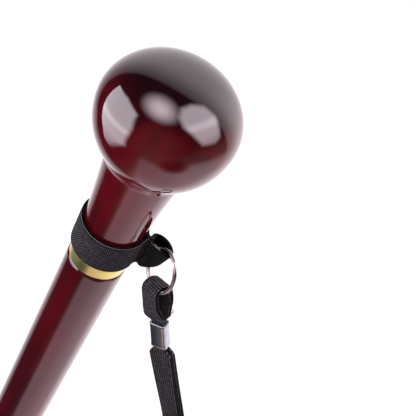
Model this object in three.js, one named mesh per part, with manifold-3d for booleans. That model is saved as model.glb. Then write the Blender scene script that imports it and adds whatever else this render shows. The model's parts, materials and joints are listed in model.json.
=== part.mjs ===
// A knob handle walking stick: a lacquered hardwood shaft and turned knob joined by a hidden
// stud under a brass collar, a braided wrist strap on an elastic neck band, and a rubber ferrule.
// Millimetres, +Z up the stick, origin at the centre of the ferrule's flat foot.
// +X points to the side where the strap hangs.
import * as THREE from "three";
import { mergeVertices } from "three/addons/utils/BufferGeometryUtils.js";
import Module from "manifold-3d";

const wasm = await Module();
wasm.setup();

// The stick as a whole
const overallLength = 920;
const fitGap = 0.3; // between pieces that touch, and between the layers of one tape
const overrun = 1; // how far a cutter stands out of what it cuts

// Knob and neck, with heights above the collar's lower edge
const knobRadius = 25.44;
const knobCentreHeight = 78.03;
const knobCrownHeight = 20.36; // from the widest ring to the top
const knobUnderHeight = 24.93; // from the widest ring down to where the ball would close
const neckRadius = 11.16;
const neckGain = 7.34; // in radius, if the neck went on up to the knob's widest ring
const neckFlarePower = 1.825; // how late along its height the neck flares
const neckBlend = 6.72; // how sharply the neck turns into the knob

// Brass collar
const collarHeight = 10;
const collarRadius = 11.57;
const collarWall = 1;

// Shaft
const shaftTopRadius = 11.82;
const shaftFootRadius = 8.25;
const shoulderHeight = 1.6; // the rounded edge under the collar

// Joining stud, a double-ended wood screw
const studRadius = 3.6;
const studCoreRadius = 2.7;
const studHalfLength = 32;
const studPitch = 3.2;
const studGripHeight = 3; // the plain waist between the two threads

// Rubber ferrule and the steel washer in it
const ferruleHeight = 38;
const ferruleFloor = 6;
const ferruleWall = 2.2; // above the flange, at the lip's neck
const ferruleFlareShare = 0.09; // the body's gain in radius towards the flange
const padRadius = 13.2;
const padHeight = 8.6;
const padEdge = 1.2;
const footGrooveRadius = 11.7;
const footGrooveHeight = 1.8;
const flangeRadius = 14.6;
const flangeHeight = 3.2;
const lipHeight = 3.4;
const lipProud = 0.9;
const treadDepth = 1;
const treadWidth = 1.2;
const treadPitch = 3.4;
const treadInnerRadius = 4.2;
const washerThickness = 1.5;
const washerHoleRadius = 2;

// Elastic neck band and its tab
const bandWidth = 14.7;
const bandThickness = 1.2;
const bandHeight = 6.79; // of its lower edge above the collar's lower edge
const tabRootAngle = 6.9;
const tabEndAngle = 27.6;
const tabTwistAngle = 22.66;
const tabReach = 10.64; // past the band
const seamReach = 2.14; // the stitched part of the tab
const tabBackOpening = 3.86; // how far the tab's back layer bulges from its middle
const tabFrontOpening = 1.78;
const tabWidth = 12.74; // where the ring gathers it
const tabBackLeanShare = 0.03; // how much more the back layer bulges near the seam
const tabFrontLeanShare = -0.11;

// Seam thread
const threadRadius = 0.25;
const stitchPitch = 2.2;
const stitchCount = 5;

// Split ring
const ringRadius = 8.75; // to the wire's centre
const ringWireRadius = 0.42;
const ringCoilGap = 0.12; // between its two turns
const ringOutFromAxis = 23.71;
const ringAside = 0.79;
const ringHeight = 12.1; // of its centre above the collar's lower edge
const ringFacingAngle = 47.65;
const ringTiltAngle = 5.7;
const ringCrossoverAngle = 20; // half the turn in which one coil steps over to the other

// Strap: where it hangs on the ring, and how it lies
const hangAngle = 29;
const strapLeanAngle = 19.5;
const swingAngle = 21.6;
const clampTwistAngle = 25;
const wristTwistAngle = 14;

// Braided tape
const tapeWidth = 10;
const tapeThickness = 2;
const pinchedWidth = 5.4; // inside the clamp
const pinchedThickness = 0.9;
const loopRadius = 3.3; // of the tape's middle over the ring
const wristLength = 150; // below the clamp
const wristLegGap = 0.5; // between the two legs
const wristEndRadius = 2; // of the tape's middle at the lower bend
const wristDrift = 6; // how far the loop bows outwards
const pinchRun = 6; // the run in which the tape gets back its full width
const endProud = 2.6; // how far the cut end stands out of the clamp
const endOutward = 1.4;
const clampMouth = 0.8; // how far the layers stay flat outside the clamp

// Crimp clamp
const clampDrop = 17; // of its top edge
const clampHeight = 12.3;
const clampWall = 0.45;
const clampCorner = 1.1;
const clampSlit = 0.7;

// Facets
const knobSides = 48;
const shaftSides = 36;
const smallSides = 16;

const collarBase = overallLength - knobCentreHeight - knobCrownHeight;
const degrees = Math.PI / 180;
const up = new THREE.Vector3(0, 0, 1);

const finishes = {
  lacquer: { color: 0x4a0d10, roughness: 0.15, metalness: 0 },
  brass: { color: 0xd9b25a, roughness: 0.22, metalness: 1 },
  steel: { color: 0x9a9ca0, roughness: 0.4, metalness: 1 },
  nickel: { color: 0xd6d2cc, roughness: 0.15, metalness: 1 },
  elastic: { color: 0x17171a, roughness: 0.9, metalness: 0 },
  thread: { color: 0x101012, roughness: 0.8, metalness: 0 },
  tape: { color: 0x1f1d20, roughness: 0.85, metalness: 0 },
  rubber: { color: 0x1c1c1e, roughness: 0.7, metalness: 0 },
};

function piece(name, geometry, finish) {
  const mesh = new THREE.Mesh(geometry, new THREE.MeshStandardMaterial(finishes[finish]));
  mesh.name = name;
  return mesh;
}

// A turned solid from [radius, height] points that start and end on the axis, or close on themselves.
function turned(outline, sides) {
  const profile = outline.map(([radius, height]) => new THREE.Vector2(radius, height));
  return new THREE.LatheGeometry(profile, sides).rotateX(90 * degrees);
}

// The corners of a tape's section, with its four edges taken off.
function flatSection(width, thickness) {
  const edge = thickness / 4;
  const [w, t] = [width / 2, thickness / 2];
  return [
    [w, edge - t], [w, t - edge], [w - edge, t], [edge - w, t],
    [-w, t - edge], [-w, edge - t], [edge - w, -t], [w - edge, -t],
  ];
}

function roundSection(radius, sides = 8) {
  return Array.from({ length: sides }, (_, i) => {
    const turn = (2 * Math.PI * (i + 0.5)) / sides;
    return [radius * Math.cos(turn), radius * Math.sin(turn)];
  });
}

// Sweeps sections along stations. A station has its place, the direction across the section and
// the section's points. A closed sweep joins its last station to its first.
function swept(stations, closed = false) {
  const count = stations.length;
  const corners = stations[0].section.length;
  const positions = [];
  const index = [];
  stations.forEach(({ at, across, section }, i) => {
    const before = stations[closed ? (i + count - 1) % count : Math.max(i - 1, 0)].at;
    const after = stations[closed ? (i + 1) % count : Math.min(i + 1, count - 1)].at;
    const along = after.clone().sub(before).normalize();
    const side = across.clone().addScaledVector(along, -across.dot(along)).normalize();
    const face = along.clone().cross(side);
    for (const [u, v] of section) {
      positions.push(...at.clone().addScaledVector(side, u).addScaledVector(face, v));
    }
  });
  for (let i = 0; i < (closed ? count : count - 1); i++) {
    const next = (i + 1) % count;
    for (let j = 0; j < corners; j++) {
      const k = (j + 1) % corners;
      const [a, b, c, d] = [i * corners + j, i * corners + k, next * corners + k, next * corners + j];
      index.push(a, b, c, a, c, d);
    }
  }
  if (!closed) {
    const last = (count - 1) * corners;
    for (let j = 1; j < corners - 1; j++) {
      index.push(0, j + 1, j, last, last + j, last + j + 1);
    }
  }
  const geometry = new THREE.BufferGeometry();
  geometry.setAttribute("position", new THREE.Float32BufferAttribute(positions, 3));
  geometry.setIndex(index);
  return geometry;
}

function toSolid(geometry) {
  const bare = geometry.clone();
  bare.deleteAttribute("normal");
  bare.deleteAttribute("uv");
  const merged = mergeVertices(bare);
  return new wasm.Manifold(new wasm.Mesh({
    numProp: 3,
    vertProperties: new Float32Array(merged.attributes.position.array),
    triVerts: new Uint32Array(merged.index.array),
  }));
}

function fromSolid(solid) {
  const mesh = solid.getMesh();
  const geometry = new THREE.BufferGeometry();
  geometry.setAttribute("position", new THREE.BufferAttribute(mesh.vertProperties, 3));
  geometry.setIndex(new THREE.BufferAttribute(mesh.triVerts, 1));
  return geometry;
}

const smooth = (share) => share * share * (3 - 2 * share);
const between = (value, low, high) => THREE.MathUtils.clamp((value - low) / (high - low), 0, 1);

// Radius of the neck and knob at a height above the collar's lower edge: an oval crown, and an
// oval underside that blends into the flaring neck.
function knobOutline(height) {
  const offCentre = height - knobCentreHeight;
  if (offCentre >= 0) {
    return knobRadius * Math.sqrt(Math.max(0, 1 - (offCentre / knobCrownHeight) ** 2));
  }
  const ball = knobRadius * Math.sqrt(Math.max(0, 1 - (offCentre / knobUnderHeight) ** 2));
  const neckAt = (h) => neckRadius + neckGain * (h / knobCentreHeight) ** neckFlarePower;
  const blend = (a, b) => (a ** neckBlend + b ** neckBlend) ** (1 / neckBlend);
  const excess = blend(knobRadius, neckAt(knobCentreHeight)) / knobRadius;
  return blend(ball, neckAt(height)) / (1 + (excess - 1) * (height / knobCentreHeight) ** 4);
}

const tenonRadius = collarRadius - collarWall - fitGap;
const jointHeight = collarHeight / 2; // where the shaft's tenon meets the knob's spigot
const studHoleRadius = studRadius + fitGap;

function knobHandle() {
  const spigotFoot = jointHeight + fitGap;
  const neckFoot = collarHeight + fitGap;
  const holeTop = jointHeight + studHalfLength + fitGap;
  const outline = [
    [0, holeTop], [studHoleRadius, holeTop], [studHoleRadius, spigotFoot],
    [tenonRadius, spigotFoot], [tenonRadius, neckFoot],
  ];
  const neckSteps = 14;
  const neckTop = knobCentreHeight - knobUnderHeight;
  for (let i = 0; i <= neckSteps; i++) {
    const height = neckFoot + (neckTop - neckFoot) * (i / neckSteps);
    outline.push([knobOutline(height), height]);
  }
  const underSteps = 12;
  for (let i = 1; i <= underSteps; i++) {
    const height = knobCentreHeight - knobUnderHeight * Math.cos((i / underSteps) * 90 * degrees);
    outline.push([knobOutline(height), height]);
  }
  const crownSteps = 12;
  for (let i = 1; i < crownSteps; i++) {
    const height = knobCentreHeight + knobCrownHeight * Math.sin((i / crownSteps) * 90 * degrees);
    outline.push([knobOutline(height), height]);
  }
  outline.push([0, knobCentreHeight + knobCrownHeight]);
  const mesh = piece("knob_handle", turned(outline, knobSides), "lacquer");
  mesh.position.z = collarBase;
  return mesh;
}

const washerBottom = ferruleFloor + fitGap;
const shaftFoot = washerBottom + washerThickness + fitGap;
const shaftTaper = (shaftTopRadius - shaftFootRadius) / (collarBase - shaftFoot);
const shaftRadiusAt = (height) => shaftFootRadius + shaftTaper * (height - shaftFoot);

function shaft() {
  const shoulderTop = collarBase - fitGap;
  const tenonTop = collarBase + jointHeight;
  const holeFoot = tenonTop - studHalfLength - fitGap;
  const outline = [[0, shaftFoot]];
  const runs = 10;
  for (let i = 0; i <= runs; i++) {
    const height = shaftFoot + (shoulderTop - shoulderHeight - shaftFoot) * (i / runs);
    outline.push([shaftRadiusAt(height), height]);
  }
  const roundSteps = 5;
  const shoulderRadius = shaftRadiusAt(shoulderTop - shoulderHeight);
  const shoulderInset = shoulderHeight / 2;
  for (let i = 1; i <= roundSteps; i++) {
    const turn = (i / roundSteps) * 90 * degrees;
    outline.push([
      shoulderRadius - shoulderInset * (1 - Math.cos(turn)),
      shoulderTop - shoulderHeight * (1 - Math.sin(turn)),
    ]);
  }
  outline.push(
    [tenonRadius, shoulderTop], [tenonRadius, tenonTop],
    [studHoleRadius, tenonTop], [studHoleRadius, holeFoot], [0, holeFoot],
  );
  return piece("shaft", turned(outline, shaftSides), "lacquer");
}

function brassCollar() {
  const inner = collarRadius - collarWall;
  const edge = collarWall / 4;
  const outline = [
    [inner, 0], [collarRadius - edge, 0], [collarRadius, edge],
    [collarRadius, collarHeight - edge], [collarRadius - edge, collarHeight],
    [inner, collarHeight], [inner, 0],
  ];
  const mesh = piece("brass_collar", turned(outline, knobSides), "brass");
  mesh.position.z = collarBase;
  return mesh;
}

// Two threads of ridges that taper to a point, on either side of a plain waist.
function joiningStud() {
  const outline = [[0, -studHalfLength]];
  const tipHeight = studPitch;
  const threaded = studHalfLength - tipHeight - studGripHeight / 2;
  const ridges = Math.floor(threaded / studPitch);
  const half = [];
  for (let i = 0; i < ridges; i++) {
    const foot = studHalfLength - tipHeight - i * studPitch;
    half.push([studCoreRadius, foot], [studRadius, foot - studPitch / 2]);
  }
  half.push([studCoreRadius, studHalfLength - tipHeight - ridges * studPitch]);
  half.push([studRadius, studGripHeight / 2]);
  for (const [radius, height] of half) outline.push([radius, -height]);
  for (const [radius, height] of half.reverse()) outline.push([radius, height]);
  outline.push([0, studHalfLength]);
  const mesh = piece("joining_stud", turned(outline, smallSides), "steel");
  mesh.position.z = collarBase + jointHeight;
  return mesh;
}

const boreRadiusAt = (height) => shaftRadiusAt(Math.max(height, shaftFoot)) + fitGap;

function rubberFerrule() {
  const flangeFoot = padHeight + footGrooveHeight;
  const flangeTop = flangeFoot + flangeHeight;
  const flangeEdge = flangeHeight / 4;
  const lipFoot = ferruleHeight - lipHeight;
  const neckRadiusAtLip = boreRadiusAt(lipFoot) + ferruleWall;
  const bodyRadius = neckRadiusAtLip + ferruleFlareShare * (lipFoot - flangeTop);
  const lipRadius = neckRadiusAtLip + lipProud;
  const lipEdge = lipHeight / 4;
  const outline = [[0, 0]];
  for (let groove = 0; groove < 2; groove++) {
    const inner = treadInnerRadius + groove * treadPitch;
    outline.push(
      [inner, 0], [inner, treadDepth], [inner + treadWidth, treadDepth], [inner + treadWidth, 0],
    );
  }
  outline.push(
    [padRadius - padEdge, 0], [padRadius, padEdge], [padRadius, padHeight - padEdge / 2],
    [padRadius - padEdge / 2, padHeight], [footGrooveRadius, padHeight],
    [footGrooveRadius, flangeFoot], [flangeRadius - flangeEdge, flangeFoot],
    [flangeRadius, flangeFoot + flangeEdge], [flangeRadius, flangeTop - flangeEdge],
    [flangeRadius - flangeEdge, flangeTop], [bodyRadius, flangeTop + flangeEdge],
    [neckRadiusAtLip, lipFoot], [lipRadius - lipEdge / 2, lipFoot],
    [lipRadius, lipFoot + lipEdge], [lipRadius, ferruleHeight - lipEdge],
    [lipRadius - lipEdge, ferruleHeight], [boreRadiusAt(ferruleHeight), ferruleHeight],
    [boreRadiusAt(shaftFoot), shaftFoot], [boreRadiusAt(shaftFoot), ferruleFloor],
    [0, ferruleFloor],
  );
  return piece("rubber_ferrule", turned(outline, shaftSides), "rubber");
}

function ferruleWasher() {
  const outline = [
    [washerHoleRadius, 0], [shaftFootRadius, 0], [shaftFootRadius, washerThickness],
    [washerHoleRadius, washerThickness], [washerHoleRadius, 0],
  ];
  const mesh = piece("ferrule_washer", turned(outline, smallSides), "steel");
  mesh.position.z = washerBottom;
  return mesh;
}

// The band lies on the collar's upper part and on the neck, so it leans with the wider of them.
const bandFootRadius = collarRadius + fitGap + bandThickness / 2;
const bandTop = bandHeight + bandWidth;
const bandTopRadius = Math.max(bandFootRadius, knobOutline(bandTop) + fitGap + bandThickness / 2);
const layerHalf = (bandThickness + fitGap) / 2;

// A point of the tab: how far along it lies from the band, how far aside, and the direction
// across the tape there, which twists towards its outer end.
function tabStation(reach, aside) {
  const run = between(reach, seamReach, tabReach);
  const bend = (tabEndAngle - tabRootAngle) * degrees;
  const root = tabRootAngle * degrees;
  const heading = root + bend * run;
  const outward = new THREE.Vector3(Math.cos(root), Math.sin(root), 0);
  const at = outward.clone().multiplyScalar(bandTopRadius + Math.min(reach, seamReach));
  const bendRadius = (tabReach - seamReach) / bend;
  at.x += bendRadius * (Math.sin(heading) - Math.sin(root));
  at.y += bendRadius * (Math.cos(root) - Math.cos(heading));
  at.z = collarBase + bandHeight + bandWidth / 2;
  const left = new THREE.Vector3(-Math.sin(heading), Math.cos(heading), 0);
  const twist = -tabTwistAngle * degrees * smooth(run);
  const across = up.clone().multiplyScalar(Math.cos(twist)).addScaledVector(left, Math.sin(twist));
  const aslant = left.clone().multiplyScalar(Math.cos(twist)).addScaledVector(up, -Math.sin(twist));
  at.addScaledVector(aslant, aside);
  const width = bandWidth + (tabWidth - bandWidth) * smooth(run);
  return { at, across, width };
}

function bandStations() {
  const points = [];
  const cornerAngle = Math.asin((layerHalf + bandThickness * 1.6) / bandTopRadius);
  const lean = new THREE.Vector2(bandTopRadius - bandFootRadius, bandWidth).normalize();
  const neckSteps = 40;
  for (let i = 0; i <= neckSteps; i++) {
    const angle = tabRootAngle * degrees - cornerAngle
      - (2 * Math.PI - 2 * cornerAngle) * (i / neckSteps);
    const radial = new THREE.Vector3(Math.cos(angle), Math.sin(angle), 0);
    points.push({
      at: radial.clone().multiplyScalar((bandFootRadius + bandTopRadius) / 2)
        .setZ(collarBase + bandHeight + bandWidth / 2),
      across: radial.clone().multiplyScalar(lean.x).addScaledVector(up, lean.y),
      width: bandWidth,
    });
  }
  points.push(tabStation(seamReach / 3, layerHalf));
  const loopSteps = 22;
  for (let i = 0; i <= loopSteps; i++) {
    const turn = (2 * Math.PI * i) / loopSteps;
    const share = (1 - Math.cos(turn)) / 2;
    const [opening, lean] = i < loopSteps / 2
      ? [tabBackOpening, tabBackLeanShare] : [tabFrontOpening, tabFrontLeanShare];
    const aside = layerHalf * Math.cos(turn / 2)
      + opening * Math.sin(turn) * (1 + lean * Math.cos(turn));
    points.push(tabStation(seamReach + (tabReach - seamReach) * share, aside));
  }
  points.push(tabStation(seamReach / 3, -layerHalf));
  return points;
}

// The same stations on a smooth closed curve, so the corners beside the seam are rounded.
function rounded(points, count) {
  const edge = (side) => new THREE.CatmullRomCurve3(
    points.map(({ at, across, width }) => at.clone().addScaledVector(across, (side * width) / 2)),
    true, "centripetal",
  );
  const [lower, upper] = [edge(-1), edge(1)];
  return Array.from({ length: count }, (_, i) => {
    const [low, high] = [lower.getPoint(i / count), upper.getPoint(i / count)];
    return {
      at: low.clone().add(high).divideScalar(2),
      across: high.clone().sub(low).normalize(),
      section: flatSection(high.distanceTo(low), bandThickness),
    };
  });
}

// The row of stitches runs up the middle of the stitched part of the tab.
const seam = tabStation(seamReach / 2, 0);
const seamLeft = new THREE.Vector3(-Math.sin(tabRootAngle * degrees), Math.cos(tabRootAngle * degrees), 0);
const seamOut = new THREE.Vector3().crossVectors(seamLeft, up);
const stitchHeight = (i) => (i - stitchCount / 2) * stitchPitch;

function strapBand() {
  let solid = toSolid(swept(rounded(bandStations(), 132), true));
  const holeRadius = threadRadius + fitGap;
  const holeReach = layerHalf + bandThickness + overrun;
  for (let i = 0; i <= stitchCount; i++) {
    const middle = seam.at.clone().addScaledVector(up, stitchHeight(i));
    const ends = [-holeReach, holeReach].map((side) => ({
      at: middle.clone().addScaledVector(seamLeft, side),
      across: up,
      section: roundSection(holeRadius, 6),
    }));
    solid = solid.subtract(toSolid(swept(ends)));
  }
  return piece("strap_band", fromSolid(solid), "elastic");
}

function tabStitches() {
  const faceReach = layerHalf + bandThickness / 2 + fitGap + threadRadius;
  const stations = [];
  const place = (height, side) => stations.push({
    at: seam.at.clone().addScaledVector(up, height).addScaledVector(seamLeft, side),
    across: seamOut,
    section: roundSection(threadRadius, 6),
  });
  for (let i = 0; i <= stitchCount; i++) {
    const side = i % 2 ? 1 : -1;
    const turnIn = threadRadius * 1.6;
    const height = stitchHeight(i);
    place(height - (i ? turnIn : 0), -side * faceReach);
    place(height, -side * (faceReach - turnIn));
    place(height, side * (faceReach - turnIn));
    place(height + (i < stitchCount ? turnIn : 0), side * faceReach);
  }
  return piece("tab_stitches", swept(stations), "thread");
}

// The ring's own directions: its axle, the way to where the strap hangs, and along the wire there.
const ringAxle = new THREE.Vector3(
  Math.cos(ringTiltAngle * degrees) * Math.cos(ringFacingAngle * degrees),
  Math.cos(ringTiltAngle * degrees) * Math.sin(ringFacingAngle * degrees),
  -Math.sin(ringTiltAngle * degrees),
);
const ringDown = up.clone().negate().addScaledVector(ringAxle, ringAxle.z).normalize();
const ringSide = ringDown.clone().cross(ringAxle);
const hang = ringDown.clone().applyAxisAngle(ringAxle, -hangAngle * degrees);
const wireAlong = ringSide.clone().applyAxisAngle(ringAxle, -hangAngle * degrees);
const ringCentre = new THREE.Vector3(ringOutFromAxis, -ringAside, collarBase + ringHeight);

// Two turns side by side, which change places where the wire's ends lie.
function splitRing() {
  const stations = [];
  const coilHalf = ringWireRadius + ringCoilGap / 2;
  const [first, last] = [ringCrossoverAngle + 4, 720 - ringCrossoverAngle - 4];
  const steps = 84;
  for (let i = 0; i <= steps; i++) {
    const turn = first + (last - first) * (i / steps);
    const shift = 2 * smooth(between(turn, 360 - ringCrossoverAngle, 360 + ringCrossoverAngle)) - 1;
    const radial = hang.clone().negate().applyAxisAngle(ringAxle, turn * degrees);
    stations.push({
      at: ringCentre.clone().addScaledVector(radial, ringRadius).addScaledVector(ringAxle, shift * coilHalf),
      across: radial,
      section: roundSection(ringWireRadius),
    });
  }
  return piece("split_ring", swept(stations), "nickel");
}

// The strap's own directions: down along it, across the tape, and through its thickness. Drops
// are measured down from the middle of the fold.
const strapDown = ringDown.clone().applyAxisAngle(ringAxle, -strapLeanAngle * degrees)
  .multiplyScalar(Math.cos(swingAngle * degrees))
  .addScaledVector(ringAxle, Math.sin(swingAngle * degrees));
// The straight fold hangs on the wire by the tape's two edges, because the ring bows away between
// them. The fold swings about the middle of that bow, and its inside clears the bow all round.
const bowTop = Math.sqrt((ringRadius - ringWireRadius) ** 2 - (tapeWidth / 2) ** 2);
const bowFoot = ringRadius + ringWireRadius;
const bowReach = Math.hypot((bowFoot - bowTop) / 2, 2 * ringWireRadius + ringCoilGap / 2);
const swingCentre = ringCentre.clone().addScaledVector(hang, (bowTop + bowFoot) / 2);
const foldDrop = loopRadius - tapeThickness / 2 - bowReach - fitGap;
const foldCentre = swingCentre.clone().addScaledVector(strapDown, foldDrop);
const clampFoot = clampDrop + clampHeight;
const strapEnd = clampFoot + wristLength;

function strapFrame(drop) {
  const toClamp = smooth(between(drop, loopRadius, clampDrop));
  const toWrist = smooth(between(drop, clampFoot, clampFoot + wristLength / 3));
  const twist = clampTwistAngle * toClamp + (wristTwistAngle - clampTwistAngle) * toWrist;
  const across = wireAlong.clone().applyAxisAngle(strapDown, -twist * degrees);
  const through = strapDown.clone().cross(across).normalize();
  return { across, through };
}

// The wrist loop's middle bends outwards in a shallow S.
const driftShares = [0, 0.42, 0.8, 1, 0.95, 0.75, 0.45];
const driftCurve = new THREE.CatmullRomCurve3(driftShares.map((share, i) => (
  new THREE.Vector3((i / (driftShares.length - 1)) * wristLength, share * wristDrift, 0)
)));
function driftAt(drop) {
  return driftCurve.getPoint(between(drop, clampFoot + clampMouth, strapEnd)).y;
}

function strapPoint(drop, aside) {
  const { through } = strapFrame(drop);
  return foldCentre.clone().addScaledVector(strapDown, drop)
    .addScaledVector(through, -aside - driftAt(drop));
}

const clampLayer = pinchedThickness + fitGap; // from one layer's middle to the next
const pinchAt = (drop) => smooth(between(drop, clampDrop - pinchRun, clampDrop - clampMouth))
  * (1 - smooth(between(drop, clampFoot + clampMouth, clampFoot + pinchRun)));

// How far the fold's two legs stand apart a pinch run above the clamp
const bulgeShares = [0.45, 0.85];

// The tape's route: from its inner end in the clamp, over the ring, back through the clamp,
// round the wrist loop, and up to the end that stands out of the clamp.
function tapeRoute() {
  const legHalf = (tapeThickness + wristLegGap) / 2;
  const route = [];
  const [mouthTop, mouthFoot] = [clampDrop - clampMouth, clampFoot + clampMouth];
  route.push([clampFoot - fitGap, 0], [mouthTop, 0]);
  route.push([clampDrop - pinchRun, loopRadius * bulgeShares[0]]);
  route.push([clampDrop - 2 * pinchRun, loopRadius]);
  const overRing = 8;
  for (let i = 0; i <= overRing; i++) {
    const turn = (i / overRing) * 180 * degrees;
    route.push([-loopRadius * Math.sin(turn), loopRadius * Math.cos(turn)]);
  }
  route.push([clampDrop - 2 * pinchRun, -loopRadius]);
  route.push([clampDrop - pinchRun, -loopRadius * bulgeShares[1]]);
  route.push([mouthTop, -clampLayer], [mouthFoot, -clampLayer]);
  const legShares = [0.05, 0.2, 0.4, 0.6, 0.8, 0.92];
  const straightFoot = strapEnd - wristEndRadius - tapeThickness / 2;
  const legDrop = (share) => clampFoot + share * (straightFoot - clampFoot);
  for (const share of legShares) route.push([legDrop(share), -legHalf]);
  const atBend = 8;
  for (let i = 0; i <= atBend; i++) {
    const turn = (i / atBend) * 180 * degrees;
    route.push([straightFoot + wristEndRadius * Math.sin(turn), -wristEndRadius * Math.cos(turn)]);
  }
  for (const share of legShares.reverse()) route.push([legDrop(share), legHalf]);
  route.push([mouthFoot, clampLayer], [mouthTop, clampLayer]);
  route.push([clampDrop - endProud, clampLayer + endOutward]);
  return route;
}

function strapTape() {
  const curve = new THREE.CatmullRomCurve3(
    tapeRoute().map(([drop, aside]) => new THREE.Vector3(drop, aside, 0)), false, "centripetal",
  );
  const steps = 150;
  const stations = Array.from({ length: steps + 1 }, (_, i) => {
    const { x: drop, y: aside } = curve.getPoint(i / steps);
    const pinch = pinchAt(drop);
    return {
      at: strapPoint(drop, aside),
      across: strapFrame(drop).across,
      section: flatSection(
        THREE.MathUtils.lerp(tapeWidth, pinchedWidth, pinch),
        THREE.MathUtils.lerp(tapeThickness, pinchedThickness, pinch),
      ),
    };
  });
  return piece("strap_tape", swept(stations), "tape");
}

// A strip of sheet metal bent round the tape, with its two edges facing each other at the back.
function crimpClamp() {
  const innerWidth = pinchedWidth / 2 + fitGap;
  const innerDepth = clampLayer + pinchedThickness / 2 + fitGap;
  const outline = (width, depth, corner) => {
    const points = [];
    const steps = 4;
    for (const [sx, sy, start] of [[1, -1, -90], [1, 1, 0], [-1, 1, 90], [-1, -1, 180]]) {
      for (let i = 0; i <= steps; i++) {
        const turn = (start + (90 * i) / steps) * degrees;
        points.push(new THREE.Vector2(
          sx * (width - corner) + corner * Math.cos(turn),
          sy * (depth - corner) + corner * Math.sin(turn),
        ));
      }
    }
    return points;
  };
  const outer = outline(innerWidth + clampWall, innerDepth + clampWall, clampCorner);
  const inner = outline(innerWidth, innerDepth, clampCorner - clampWall).reverse();
  const slit = clampSlit / 2;
  const lip = (side, depth) => new THREE.Vector2(side * slit, -depth);
  const shape = new THREE.Shape([
    lip(1, innerDepth + clampWall), ...outer, lip(-1, innerDepth + clampWall),
    lip(-1, innerDepth), ...inner, lip(1, innerDepth),
  ]);
  const geometry = new THREE.ExtrudeGeometry(shape, { depth: clampHeight, bevelEnabled: false });
  const { through } = strapFrame(clampDrop);
  const mesh = piece("crimp_clamp", geometry, "nickel");
  mesh.quaternion.setFromRotationMatrix(new THREE.Matrix4().makeBasis(
    through.clone().cross(strapDown), through, strapDown,
  ));
  mesh.position.copy(strapPoint(clampDrop, 0));
  return mesh;
}

const walkingStick = new THREE.Group();
walkingStick.add(
  shaft(), knobHandle(), brassCollar(), joiningStud(),
  strapBand(), tabStitches(), splitRing(), strapTape(), crimpClamp(),
  rubberFerrule(), ferruleWasher(),
);

export default walkingStick;
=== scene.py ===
"""A knob handle walking stick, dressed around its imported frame.

A turned and lacquered knob and shaft meet under a brass collar. An elastic band round the neck holds
a split ring, from which a ribbed wrist strap hangs by its clamped fold. A rubber ferrule is the foot.
All lengths are in metres, in the part's own frame: +Z runs up the stick from the floor.
"""

import json
import logging
import math
import random
from dataclasses import dataclass, field
from enum import Enum
from typing import Any, Sequence

import bmesh
import bpy
from mathutils import Matrix, Quaternion, Vector

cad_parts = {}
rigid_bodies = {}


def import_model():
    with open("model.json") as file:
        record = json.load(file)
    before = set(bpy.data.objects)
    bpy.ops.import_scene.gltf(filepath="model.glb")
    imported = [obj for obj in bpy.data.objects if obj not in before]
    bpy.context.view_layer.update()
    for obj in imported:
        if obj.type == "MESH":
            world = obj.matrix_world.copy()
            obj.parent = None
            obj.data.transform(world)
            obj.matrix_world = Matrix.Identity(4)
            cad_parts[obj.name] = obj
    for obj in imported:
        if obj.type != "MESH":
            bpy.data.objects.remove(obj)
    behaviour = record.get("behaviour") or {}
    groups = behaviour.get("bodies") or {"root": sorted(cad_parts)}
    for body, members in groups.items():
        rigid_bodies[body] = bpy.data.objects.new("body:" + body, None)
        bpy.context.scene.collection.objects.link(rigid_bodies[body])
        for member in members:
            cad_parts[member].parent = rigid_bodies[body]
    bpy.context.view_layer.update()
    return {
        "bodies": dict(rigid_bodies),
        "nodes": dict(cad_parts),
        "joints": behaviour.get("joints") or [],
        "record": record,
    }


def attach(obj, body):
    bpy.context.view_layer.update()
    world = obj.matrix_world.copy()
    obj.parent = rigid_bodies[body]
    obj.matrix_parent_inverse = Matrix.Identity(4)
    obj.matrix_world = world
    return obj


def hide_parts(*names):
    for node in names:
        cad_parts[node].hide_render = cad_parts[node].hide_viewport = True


LOG = logging.getLogger("walking_stick")
MM = 0.001
TURN = 2 * math.pi
UP = Vector((0, 0, 1))

Colour = tuple[float, float, float]
Span = tuple[float, float]


class Body(Enum):
    """The rigid bodies that pieces ride on."""

    STICK = "stick"
    BAND = "band"
    RING = "ring"
    STRAP = "strap"
    FERRULE = "ferrule"


class Slot(Enum):
    """The record's material slots."""

    WOOD = "lacquered_wood"
    BRASS = "polished_brass"
    ELASTIC = "black_elastic"
    NICKEL = "nickel"
    BRAID = "black_braid"
    RUBBER = "black_rubber"


# Shader maths


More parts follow.
